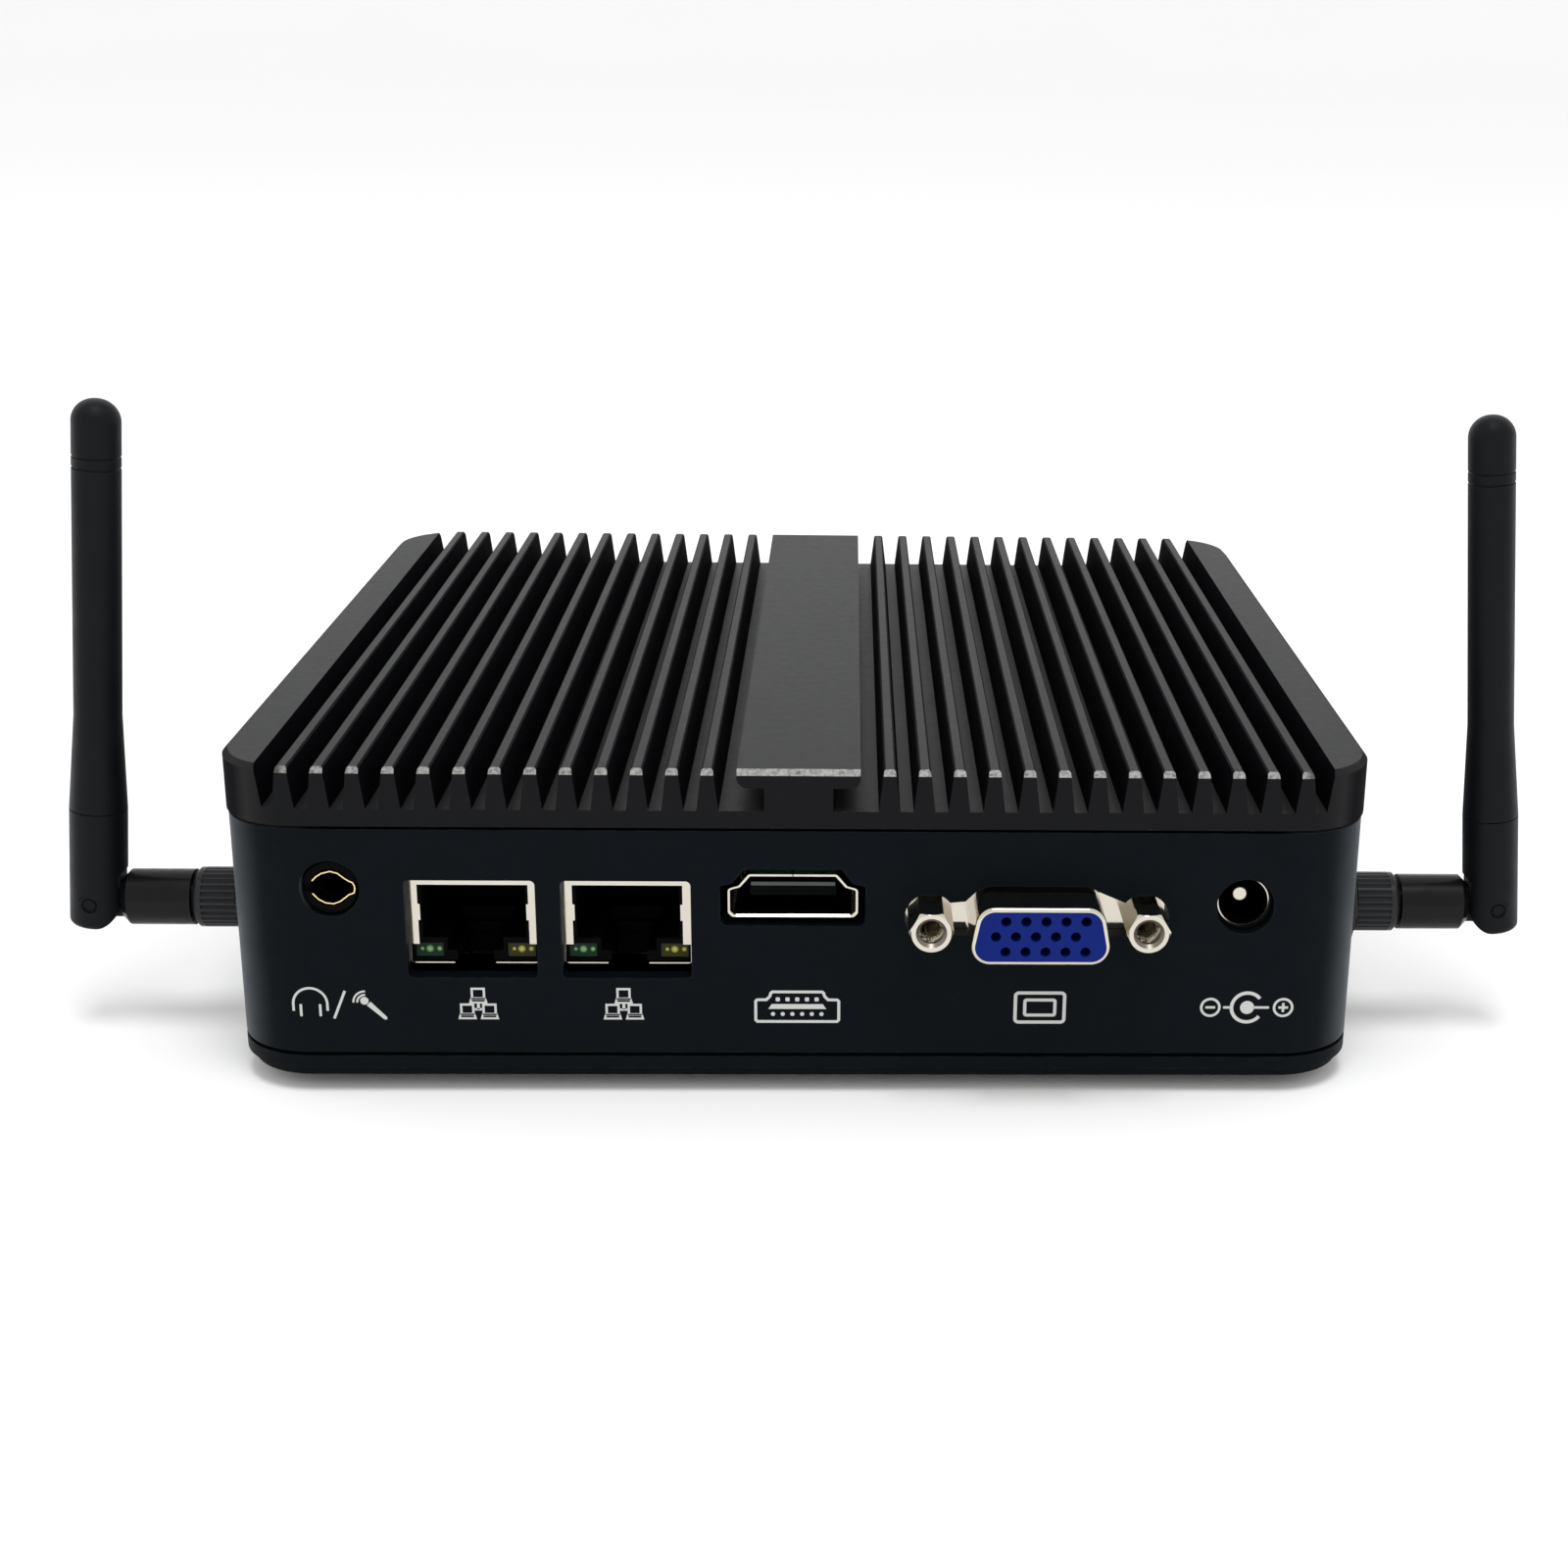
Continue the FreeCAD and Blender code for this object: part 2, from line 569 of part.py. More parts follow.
def power_capacitors():
    cans = []
    for k in range(5):
        can = rod_z(49, 6 + k * 8.5, 3.15, BOARD_BOTTOM - 5.8, BOARD_BOTTOM)
        lower = [e for e in can.Edges if e.BoundBox.ZMax < BOARD_BOTTOM - 5.7]
        cans.append(can.makeFillet(0.5, lower))
    return cans


def controller_chips():
    spots = [(LAN_X[0], -30, 4.0), (LAN_X[1], -30, 4.0), (28.0, -24, 7.0), (-40.0, 20, 5.0)]
    return [block(x - h, x + h, y - h, y + h, BOARD_TOP, BOARD_TOP + 1.1) for x, y, h in spots]


# ---------------------------------------------------------------- sockets on the front wall

def audio_jack_body():
    """Black housing with a round nose in the wall and a bore for the plug."""
    body = block(AUDIO_X - 3.4, AUDIO_X + 3.4, PANEL_Y + 0.1, PANEL_Y + 12.5, AUDIO_Z - 2.5, BOARD_BOTTOM)
    nose = rod_y(AUDIO_X, AUDIO_Z, 3.1, FACE_Y + 0.5, PANEL_Y + 1)
    bore = rod_y(AUDIO_X, AUDIO_Z, AUDIO_BORE, FACE_Y, PANEL_Y + 11.0)
    seat = rod_y(AUDIO_X, AUDIO_Z, AUDIO_BORE + 0.45, FACE_Y, FACE_Y + 3.2)
    slots = block(AUDIO_X - 4, AUDIO_X + 4, FACE_Y, FACE_Y + 1.1, AUDIO_Z - 0.5, AUDIO_Z + 0.5)
    return fused(body, nose).cut(bore).cut(seat).cut(slots)


def audio_jack_contact():
    """Gold-plated ring just inside the mouth, a little wider where the plug goes in."""
    ring = rod_y(AUDIO_X, AUDIO_Z, AUDIO_BORE + 0.43, FACE_Y + 1.2, FACE_Y + 3.2)
    ring = ring.cut(rod_y(AUDIO_X, AUDIO_Z, AUDIO_BORE, FACE_Y + 1, FACE_Y + 4))
    return ring.cut(rod_y(AUDIO_X, AUDIO_Z, AUDIO_LEAD_IN, FACE_Y + 1, FACE_Y + AUDIO_LEAD_IN_END))


def lan_shield(x):
    """Bent nickel can, open below the mouth, with two grounding tabs in the mouth."""
    y0 = PANEL_Y + 0.05
    y1 = y0 + LAN_DEPTH
    can = round_block_y(x - LAN_HALF, x + LAN_HALF, LAN_BOTTOM, LAN_TOP, 0.7, y0, y1)
    hollow = block(x - LAN_HALF + LAN_SHEET, x + LAN_HALF - LAN_SHEET, y0 + 0.4, y1 - LAN_SHEET,
                   LAN_BOTTOM + LAN_FLOOR, LAN_TOP - LAN_SHEET)
    mouth = block(x - 6.4, x + 6.4, y0 - 1, y0 + 1, LAN_BOTTOM + LAN_FLOOR, LAN_PLUG_TOP + 0.2)
    below = block(x - LAN_HALF + LAN_SHEET, x + LAN_HALF - LAN_SHEET, y0 - 1, y0 + 0.4,
                  LAN_BOTTOM + LAN_FLOOR, LAN_SIDE_BOTTOM)
    latch = block(x - LAN_LATCH_HALF - 0.3, x + LAN_LATCH_HALF + 0.3, y0 - 1, y0 + 3,
                  LAN_BOTTOM - 1, LAN_BOTTOM + 1)
    tabs = [block(min(sx * 6.15, sx * 6.5) + x, max(sx * 6.15, sx * 6.5) + x, y0, y0 + 0.4, 21.2, 23.2)
            for sx in (-1, 1)]
    return fused(can.cut(hollow).cut(mouth).cut(below).cut(latch), *tabs)


def lan_housing(x):
    """Black insulator: plug space above, stepped latch slot and two lamp windows below."""
    y0 = PANEL_Y + 0.5
    gap = 0.05
    body = block(x - LAN_HALF + LAN_SHEET + gap, x + LAN_HALF - LAN_SHEET - gap, y0,
                 y0 + LAN_DEPTH - 1.2, LAN_BOTTOM + LAN_FLOOR + gap, LAN_TOP - LAN_SHEET - gap)
    plug = block(x - LAN_PLUG_HALF, x + LAN_PLUG_HALF, y0 - 1, y0 + 13.5, LAN_PLUG_BOTTOM, LAN_PLUG_TOP)
    step = block(x - LAN_STEP_HALF, x + LAN_STEP_HALF, y0 - 1, y0 + 10, LAN_STEP_Z, LAN_PLUG_BOTTOM + 1)
    latch = block(x - LAN_LATCH_HALF, x + LAN_LATCH_HALF, y0 - 1, y0 + 9, LAN_BOTTOM, LAN_STEP_Z + 1)
    windows = [block(x + min(sx * 3.7, sx * 7.0), x + max(sx * 3.7, sx * 7.0), y0 - 1, y0 + 3.0,
                     LAN_BOTTOM + 0.5, LAN_SIDE_BOTTOM - 0.05) for sx in (-1, 1)]
    return body.cut(fused(plug, step, latch)).cut(Part.makeCompound(windows))


def lan_lamp(x, side):
    """One indicator lamp behind its window."""
    near = x + side * 3.75
    far = x + side * 6.95
    return block(min(near, far), max(near, far), PANEL_Y + 0.75, PANEL_Y + 3.45,
                 LAN_BOTTOM + 0.55, LAN_SIDE_BOTTOM - 0.1)


def lan_contacts():
    """Eight gold spring wires under the roof of each plug space."""
    wires = []
    for x in LAN_X:
        for k in range(8):
            wx = x + (k - 3.5) * 1.02
            front = PANEL_Y + 4.5
            outline = [V(wx - 0.2, front, LAN_PLUG_TOP), V(wx - 0.2, front, LAN_PLUG_TOP - 0.35),
                       V(wx - 0.2, front + 8.5, LAN_PLUG_TOP - 0.8), V(wx - 0.2, front + 8.5, LAN_PLUG_TOP - 0.45)]
            face = Part.Face(Part.makePolygon(outline + outline[:1]))
            wires.append(face.extrude(V(0.4, 0, 0)))
    return wires


def hdmi_prism(margin, y0, y1):
    plain = prism_y(hdmi_outline(margin), y0, y1)
    return plain.makeFillet(max(0.15, HDMI_BEND + margin), edges_along(plain, (0, 1, 0)))


def hdmi_shell():
    """Bent sheet shell with a seam on top; its lower front edge is bevelled to lead the plug in."""
    y1 = HDMI_FRONT_Y + HDMI_DEPTH
    outer = hdmi_prism(0.0, HDMI_FRONT_Y, y1)
    inner = hdmi_prism(-HDMI_SHEET, HDMI_FRONT_Y - 1, y1 - 0.4)
    floor = HDMI_BOTTOM + HDMI_LIP
    inner = inner.cut(block(HDMI_X - 9, HDMI_X + 9, HDMI_FRONT_Y - 2, y1, HDMI_BOTTOM, floor))
    start_y = HDMI_FRONT_Y - 0.05
    profile = [V(HDMI_X - 6.6, start_y, HDMI_BOTTOM), V(HDMI_X - 6.6, start_y, floor + 0.1),
               V(HDMI_X - 6.6, start_y + HDMI_LIP + 0.1, floor + 0.1)]
    bevel = Part.Face(Part.makePolygon(profile + profile[:1])).extrude(V(13.2, 0, 0))
    seam = block(HDMI_X - HDMI_SEAM / 2, HDMI_X + HDMI_SEAM / 2, HDMI_FRONT_Y - 1, y1 - 3,
                 HDMI_BOTTOM + 4.5, HDMI_BOTTOM + 6)
    return outer.cut(inner).cut(bevel).cut(seam)


def hdmi_tongue():
    """Insulator at the back of the shell, with the flat tongue that carries the contacts."""
    y1 = HDMI_FRONT_Y + HDMI_DEPTH - 0.4
    back = prism_y(hdmi_outline(-0.5), y1 - 2.6, y1)
    tongue = block(HDMI_X - 5.0, HDMI_X + 5.0, HDMI_FRONT_Y + 1.2, y1 - 1, 24.6, 25.7)
    return fused(back, tongue)


def vga_shell():
    """Nickel D-shaped shell with a rolled front edge, standing on a flange behind the wall."""
    front = FACE_Y - SOCKET_REACH
    flange = round_block_y(VGA_X - 15.4, VGA_X + 15.4, VGA_Z - 5.9, BOARD_BOTTOM - 0.1, 0.8,
                           VGA_FLANGE_Y, VGA_FLANGE_Y + VGA_FLANGE_THICK)
    outside = d_prism(0.0, front, VGA_FLANGE_Y + 0.5)
    rim = [e for e in outside.Edges if e.BoundBox.YMax < front + 0.01]
    outside = outside.makeFillet(VGA_LIP, rim)
    inside = d_prism(-VGA_WALL, front - 1, VGA_FLANGE_Y + 3)
    shell = fused(flange, outside).cut(inside)
    for x in vga_screw_x():
        shell = shell.cut(rod_y(x, VGA_Z, 1.6, VGA_FLANGE_Y - 1, VGA_FLANGE_Y + 3))
    return shell


def vga_insert():
    """Blue insulator with fifteen contact holes, and its block behind the flange."""
    face_y = FACE_Y - SOCKET_REACH + 0.05
    core = d_prism(-VGA_WALL - 0.03, face_y, VGA_FLANGE_Y + 3)
    rear_y = VGA_FLANGE_Y + VGA_FLANGE_THICK + 0.05
    rear = block(VGA_X - 9.5, VGA_X + 9.5, rear_y, rear_y + 9, VGA_Z - 4.6, BOARD_BOTTOM)
    body = fused(core, rear)
    holes = []
    for row, shift in ((1, 0.55), (0, -0.6), (-1, 0.55)):
        for k in range(5):
            holes.append(rod_y(VGA_X + shift + (k - 2) * 2.29, VGA_Z + row * 1.85, VGA_PIN_HOLE,
                               face_y - 1, face_y + 5))
    return body.cut(Part.makeCompound(holes))


def vga_jackscrews():
    """Hexagonal posts with a threaded bore for the plug's screws."""
    posts = []
    front = FACE_Y - VGA_SCREW_REACH
    for x in vga_screw_x():
        post = hexagon_y(x, VGA_Z, VGA_SCREW_FLATS, front, VGA_FLANGE_Y)
        corner = Part.makeCone(2.3, 2.6, 0.35, V(x, front, VGA_Z), V(0, 1, 0))
        barrel = rod_y(x, VGA_Z, 2.6, front + 0.35, VGA_FLANGE_Y)
        post = post.common(fused(corner, barrel))
        stud = rod_y(x, VGA_Z, 1.4, VGA_FLANGE_Y - 0.5, VGA_FLANGE_Y + 4)
        bore = rod_y(x, VGA_Z, VGA_SCREW_BORE, front - 1, VGA_FLANGE_Y - 0.8)
        mouth = Part.makeCone(1.8, VGA_SCREW_BORE, 0.4, V(x, front, VGA_Z), V(0, 1, 0))
        posts.append(fused(post, stud).cut(bore).cut(mouth))
    return posts


def dc_jack_body():
    body = block(POWER_X - 4.6, POWER_X + 4.6, PANEL_Y + 0.1, PANEL_Y + 12.5, POWER_Z - 4.6, BOARD_BOTTOM)
    nose = rod_y(POWER_X, POWER_Z, ROUND_HOLE - 0.05, FACE_Y + 1.4, PANEL_Y + 1)
    bore = rod_y(POWER_X, POWER_Z, POWER_BORE, FACE_Y, PANEL_Y + 10)
    return fused(body, nose).cut(bore)


def dc_jack_pin():
    """Centre contact with a rounded tip."""
    tip_y = FACE_Y + 4.2
    pin = rod_y(POWER_X, POWER_Z, 1.0, tip_y, PANEL_Y + 10)
    front = [e for e in pin.Edges if e.BoundBox.YMax < tip_y + 0.1]
    return pin.makeFillet(0.3, front)


def dc_jack_contact():
    """Spring sleeve that grips the plug's outer barrel."""
    sleeve = rod_y(POWER_X, POWER_Z, POWER_BORE - 0.02, FACE_Y + 2.0, PANEL_Y + 9)
    return sleeve.cut(rod_y(POWER_X, POWER_Z, POWER_BORE - 0.2, FACE_Y + 1, PANEL_Y + 10))


# ---------------------------------------------------------------- the opposite wall

def power_button():
    """Round cap, a flange that stops it inside the wall, and a stem into the switch."""
    inner = BACK_WALL_Y - 0.05
    cap = rod_y(BUTTON_X, BUTTON_Z, BUTTON_RADIUS, inner - 0.5, BACK_Y + BUTTON_REACH)
    rim = [e for e in cap.Edges if e.BoundBox.YMin > BACK_Y + BUTTON_REACH - 0.01]
    cap = cap.makeFillet(0.5, rim)
    flange = rod_y(BUTTON_X, BUTTON_Z, BUTTON_FLANGE, inner - BUTTON_FLANGE_THICK, inner)
    stem = rod_y(BUTTON_X, BUTTON_Z, BUTTON_STEM, inner - 4.0, inner - 0.5)
    return fused(cap, flange, stem)


def power_switch():
    """Push switch behind the button; the stem slides in its bore."""
    front = BACK_WALL_Y - 0.05 - BUTTON_FLANGE_THICK - BUTTON_TRAVEL - 0.2
    body = block(BUTTON_X - 4, BUTTON_X + 4, front - 5, front, BUTTON_Z - 4, BUTTON_Z + 4)
    bracket = block(BUTTON_X - 4, BUTTON_X + 4, front - 5, front - 3, BUTTON_Z + 3, BOARD_BOTTOM)
    bore = rod_y(BUTTON_X, BUTTON_Z, BUTTON_STEM + RUN, front - 3.3, front + 1)
    return fused(body, bracket).cut(bore)


def status_lights():
    """Clear light guides that end level with the outside of the wall."""
    return [rod_y(x, BUTTON_Z, LAMP_RADIUS, BACK_WALL_Y - 3.0, BACK_Y) for x in LAMP_X]


def usb_shell(x):
    """Two sockets, one over the other, in one bent steel can."""
    y1 = BACK_Y + 0.4
    y0 = y1 - USB_DEPTH
    shell = round_block_y(x - USB_HALF, x + USB_HALF, USB_BOTTOM, BOARD_BOTTOM, 0.5, y0, y1)
    for z in USB_SLOT_Z:
        half = USB_SLOT_HEIGHT / 2
        shell = shell.cut(block(x - USB_HALF + USB_SHEET, x + USB_HALF - USB_SHEET, y0 + 2, y1 + 1,
                                z - half, z + half))
    middle = sum(USB_SLOT_Z) / 2
    return shell.cut(block(x - 4.5, x + 4.5, y1 - 3, y1 + 1, middle - 0.7, middle + 0.7))


def usb_tongues():
    """Insulated contact tongues, one in each slot, nearer the board."""
    tongues = []
    for x in USB_X:
        for z in USB_SLOT_Z:
            tongues.append(block(x - 5.5, x + 5.5, BACK_Y + 0.4 - USB_DEPTH + 2, BACK_Y - 1.6, z + 0.2, z + 2.0))
    return tongues


# ---------------------------------------------------------------- antennas

def antenna_jack(side):
    """Bulkhead socket: hexagon against the inside of the wall, thread to the outside."""
    inner = SIDE_X - WALL
    y, z = ANTENNA_Y, ANTENNA_Z
    shapes = [hexagon_x(side * (inner - 2.5), side * inner, y, z, NUT_FLATS),
              rod((side * (inner - 1), y, z), (side, 0, 0), THREAD_RADIUS, THREAD_END_X - inner + 1),
              rod((side * (inner - 6.5), y, z), (side, 0, 0), 1.6, 5)]
    bore = rod((side * 68.6, y, z), (side, 0, 0), 2.2, 6)
    contact = rod((side * 68.0, y, z), (side, 0, 0), 0.45, 3.4)
    return fused(fused(*shapes).cut(bore), contact)


def bulkhead_nuts():
    nuts = []
    for side in (-1, 1):
        nut = hexagon_x(side * (SIDE_X + 0.05), side * (SIDE_X + 2.05), ANTENNA_Y, ANTENNA_Z, NUT_FLATS)
        hole = rod((side * SIDE_X, ANTENNA_Y, ANTENNA_Z), (side, 0, 0), THREAD_RADIUS + 0.02, 4)
        nuts.append(nut.cut(hole))
    return nuts


def coupling_nut(side):
    """Ribbed nut that screws on the jack and holds the barrel by its neck."""
    y, z = ANTENNA_Y, ANTENNA_Z
    length = COUPLING_END_X - COUPLING_START_X
    nut = rod((side * COUPLING_START_X, y, z), (side, 0, 0), COUPLING_RADIUS, length)
    outer = [e for e in nut.Edges if abs(e.CenterOfMass.x) > COUPLING_END_X - 0.1]
    nut = nut.makeChamfer(0.5, outer)
    grooves = []
    for k in range(COUPLING_RIBS):
        angle = 2 * pi * k / COUPLING_RIBS
        gy = y + (COUPLING_RADIUS + 0.05) * cos(angle)
        gz = z + (COUPLING_RADIUS + 0.05) * sin(angle)
        grooves.append(rod((side * (COUPLING_START_X - 1), gy, gz), (side, 0, 0), 0.26, length - 0.1))
    nut = nut.cut(Part.makeCompound(grooves))
    thread = rod((side * (COUPLING_START_X - 1), y, z), (side, 0, 0), THREAD_RADIUS + RUN, 5.2)
    lip = rod((side * (COUPLING_START_X - 1), y, z), (side, 0, 0), NECK_RADIUS + RUN, 9)
    return nut.cut(thread).cut(lip)


def hinge_disc(side, radius, half):
    """A disc round the folding axis, used for tongues, slots and corners."""
    return rod((side * HINGE_X, ANTENNA_Y - half, ANTENNA_Z), (0, 1, 0), radius, 2 * half)


def swivel_barrel(side):
    """Turns in the coupling nut; its flat tongue carries the folding hinge."""
    y, z = ANTENNA_Y, ANTENNA_Z
    flange_x = COUPLING_START_X + 3.5
    shapes = [rod((side * flange_x, y, z), (side, 0, 0), 3.0, 0.45),
              rod((side * flange_x, y, z), (side, 0, 0), NECK_RADIUS, BARREL_START_X - flange_x + 0.5)]
    drum = rod((side * BARREL_START_X, y, z), (side, 0, 0), BARREL_RADIUS, BARREL_END_X - BARREL_START_X)
    outer = [e for e in drum.Edges if abs(e.CenterOfMass.x) > BARREL_END_X - 0.1]
    drum = drum.makeChamfer(0.8, outer)
    x0 = min(side * (BARREL_END_X - 1), side * HINGE_X)
    x1 = max(side * (BARREL_END_X - 1), side * HINGE_X)
    tongue = block(x0, x1, y - TONGUE_HALF, y + TONGUE_HALF, z - TONGUE_RADIUS, z + TONGUE_RADIUS)
    eye = hinge_disc(side, TONGUE_RADIUS, TONGUE_HALF)
    body = fused(drum, tongue, eye, *shapes)
    return body.cut(hinge_disc(side, HINGE_PIN + RUN, 5))


def leaning(shape, side):
    """Turns an upright mast piece about its hinge, towards the case."""
    turned = shape.copy()
    turned.rotate(V(side * HINGE_X, ANTENNA_Y, ANTENNA_Z), V(0, 1, 0), -side * MAST_LEAN)
    return turned


def antenna_knuckle(side):
    """Lower end of the mast: two ears round the tongue, closed on the outer side."""
    hinge, y, z = side * HINGE_X, ANTENNA_Y, ANTENNA_Z
    x = side * (HINGE_X - MAST_OFFSET)
    column = rod_z(x, y, KNUCKLE_RADIUS, z - KNUCKLE_DROP, z + KNUCKLE_SEAM)
    lower = [e for e in column.Edges if e.BoundBox.ZMax < z - KNUCKLE_DROP + 0.1]
    column = column.makeFillet(0.8, lower)
    inner_x0 = min(hinge, hinge - side * 8)
    corner = block(inner_x0, inner_x0 + 8, y - 6, y + 6, z - 6, z)
    corner = corner.cut(hinge_disc(side, KNUCKLE_SWEEP, 7))
    slot_half = TONGUE_HALF + 0.1
    slot = TONGUE_RADIUS + 0.15
    below = block(hinge - slot, hinge + slot, y - slot_half, y + slot_half, z - 6, z)
    spigot = rod_z(x, y, WHIP_BORE - 0.05, z + KNUCKLE_SEAM - 1, z + KNUCKLE_SEAM + 3)
    eye = hinge_disc(side, slot, slot_half)
    body = leaning(fused(column.cut(corner).cut(fused(below, eye)), spigot), side)
    level = block(inner_x0, inner_x0 + 8, y - slot_half, y + slot_half, z - 8, z + slot)
    relief = rod((side * BARREL_START_X, y, z), (side, 0, 0), BARREL_RADIUS + 0.3,
                 BARREL_END_X + 0.3 - BARREL_START_X)
    return body.cut(level).cut(relief).cut(hinge_disc(side, HINGE_PIN + 0.005, 5))


def hinge_pin(side):
    return hinge_disc(side, HINGE_PIN, HINGE_PIN_HALF)


def antenna_sleeve(side):
    """Tapered whip cover with two grooves under its domed cap, hollow inside."""
    x, y, z = side * (HINGE_X - MAST_OFFSET), ANTENNA_Y, ANTENNA_Z
    seam = z + KNUCKLE_SEAM + 0.15
    taper = Part.makeCone(KNUCKLE_RADIUS, WHIP_RADIUS, z + TAPER_TOP - seam, V(x, y, seam))
    shaft = rod_z(x, y, WHIP_RADIUS, z + TAPER_TOP, z + WHIP_TOP)
    top = [e for e in shaft.Edges if e.BoundBox.ZMin > z + WHIP_TOP - 0.1]
    shaft = shaft.makeFillet(WHIP_RADIUS - 0.15, top)
    body = fused(taper, shaft)
    for height in CAP_GROOVES:
        ring = rod_z(x, y, WHIP_RADIUS + 1, z + height - GROOVE_WIDTH, z + height)
        ring = ring.cut(rod_z(x, y, WHIP_RADIUS - GROOVE_DEPTH, z + height - 1, z + height + 1))
        body = body.cut(ring)
    return leaning(body.cut(rod_z(x, y, WHIP_BORE, seam - 1, z + WHIP_TOP - 4)), side)


def antenna_radiator(side):
    """The brass element inside: a wide lower sleeve and a thin upper rod."""
    x, y, z = side * (HINGE_X - MAST_OFFSET), ANTENNA_Y, ANTENNA_Z
    start = z + KNUCKLE_SEAM + 3.05
    return leaning(fused(rod_z(x, y, 1.4, start, start + 20), rod_z(x, y, 0.5, start + 19, start + 41)), side)


def tube_along(points, radius):
    """Straight runs joined by tangent arcs, each as large as its two runs allow."""
    edges = []
    here = V(*points[0])
    for k in range(1, len(points) - 1):
        corner = V(*points[k])
        back = (V(*points[k - 1]) - corner)
        ahead = (V(*points[k + 1]) - corner)
        reach = 0.45 * min(back.Length, ahead.Length)
        turn = pi - back.getAngle(ahead)
        back.normalize()
        ahead.normalize()
        first = corner + back * reach
        last = corner + ahead * reach
        bend = reach / tan(turn / 2)
        middle = (back + ahead)
        middle.normalize()
        apex = corner + middle * (hypot(bend, reach) - bend)
        print(f"   cable bend {k} radius {bend:6.2f}")
        edges.append(Part.LineSegment(here, first).toShape())
        edges.append(Part.Arc(first, apex, last).toShape())
        here = last
    edges.append(Part.LineSegment(here, V(*points[-1])).toShape())
    path = Part.Wire(edges)
    start = V(*points[0])
    profile = Part.Wire(Part.makeCircle(radius, start, V(*points[1]) - start))
    tube = path.makePipeShell([profile], True, False)
    print(f"   cable volume {tube.Volume:.1f} against section x length {pi * radius ** 2 * path.Length:.1f}")
    return tube


def pigtail(side):
    """Thin coaxial lead from the bulkhead jack to the radio card."""
    start_x = side * (SIDE_X - WALL - 6.7)
    y, z = ANTENNA_Y, ANTENNA_Z
    plug_y = CABLE_PLUG_Y[0] if side < 0 else CABLE_PLUG_Y[1]
    if side < 0:
        route = [(start_x, y, z), (-50, y + 1.5, 15.5), (-38, -36, 12), (-18, -32, 10.5), (4, -30, 11),
                 (20, -27.5, 13.5), (29, plug_y, 17.5), (CABLE_PLUG_X, plug_y, CABLE_PLUG_TOP - 0.9)]
    else:
        route = [(start_x, y, z), (51, -40, 15.5), (43, -34, 12.5), (37, -24, 10),
                 (33.6, -18.4, 14), (CABLE_PLUG_X, plug_y, CABLE_PLUG_TOP - 0.9)]
    tube = tube_along(route, CABLE_RADIUS)
    plug = rod_z(CABLE_PLUG_X, plug_y, 1.5, CABLE_PLUG_TOP - 1.0, CABLE_PLUG_TOP + 0.35)
    return fused(tube, plug)


# ---------------------------------------------------------------- build

save("heatsink_cover", heatsink_cover())
save("main_frame", main_frame())
save("bottom_cover", bottom_cover())
save("rubber_feet", *rubber_feet())
save("case_screws", *case_screws())
save("thermal_block", thermal_block())
save("board_standoffs", *board_standoffs())
save("board_screws", *board_screws())
save("motherboard", motherboard())
save("cpu_package", cpu_package())
save("memory_socket", memory_socket())
save("memory_module", memory_module())
save("card_sockets", *card_sockets())
save("storage_card", storage_card())
save("wifi_card", wifi_card())
save("card_screws", *card_screws())
save("backup_battery", backup_battery())
save("power_inductors", *power_inductors())
save("power_capacitors", *power_capacitors())
save("controller_chips", *controller_chips())
save("audio_jack_body", audio_jack_body())
save("audio_jack_contact", audio_jack_contact())
for name, place in zip(("left", "right"), LAN_X):
    save(f"{name}_lan_shield", lan_shield(place))
    save(f"{name}_lan_housing", lan_housing(place))
save("lan_contacts", *lan_contacts())
save("link_lights", *[lan_lamp(x, -1) for x in LAN_X])
save("activity_lights", *[lan_lamp(x, 1) for x in LAN_X])
save("hdmi_shell", hdmi_shell())
save("hdmi_tongue", hdmi_tongue())
save("vga_shell", vga_shell())
save("vga_insert", vga_insert())
save("vga_jackscrews", *vga_jackscrews())
save("dc_jack_body", dc_jack_body())
save("dc_jack_pin", dc_jack_pin())
save("dc_jack_contact", dc_jack_contact())
save("power_button", power_button())
save("power_switch", power_switch())
save("status_lights", *status_lights())
for name, place in zip(("left", "right"), USB_X):
    save(f"{name}_usb_shell", usb_shell(place))
save("usb_tongues", *usb_tongues())
save("bulkhead_nuts", *bulkhead_nuts())
for name, side in (("left", -1), ("right", 1)):
    save(f"{name}_antenna_jack", antenna_jack(side))
    save(f"{name}_coupling_nut", coupling_nut(side))
    save(f"{name}_swivel_barrel", swivel_barrel(side))
    save(f"{name}_antenna_knuckle", antenna_knuckle(side))
    save(f"{name}_hinge_pin", hinge_pin(side))
    save(f"{name}_antenna_sleeve", antenna_sleeve(side))
    save(f"{name}_antenna_radiator", antenna_radiator(side))
    save(f"{name}_pigtail", pigtail(side))
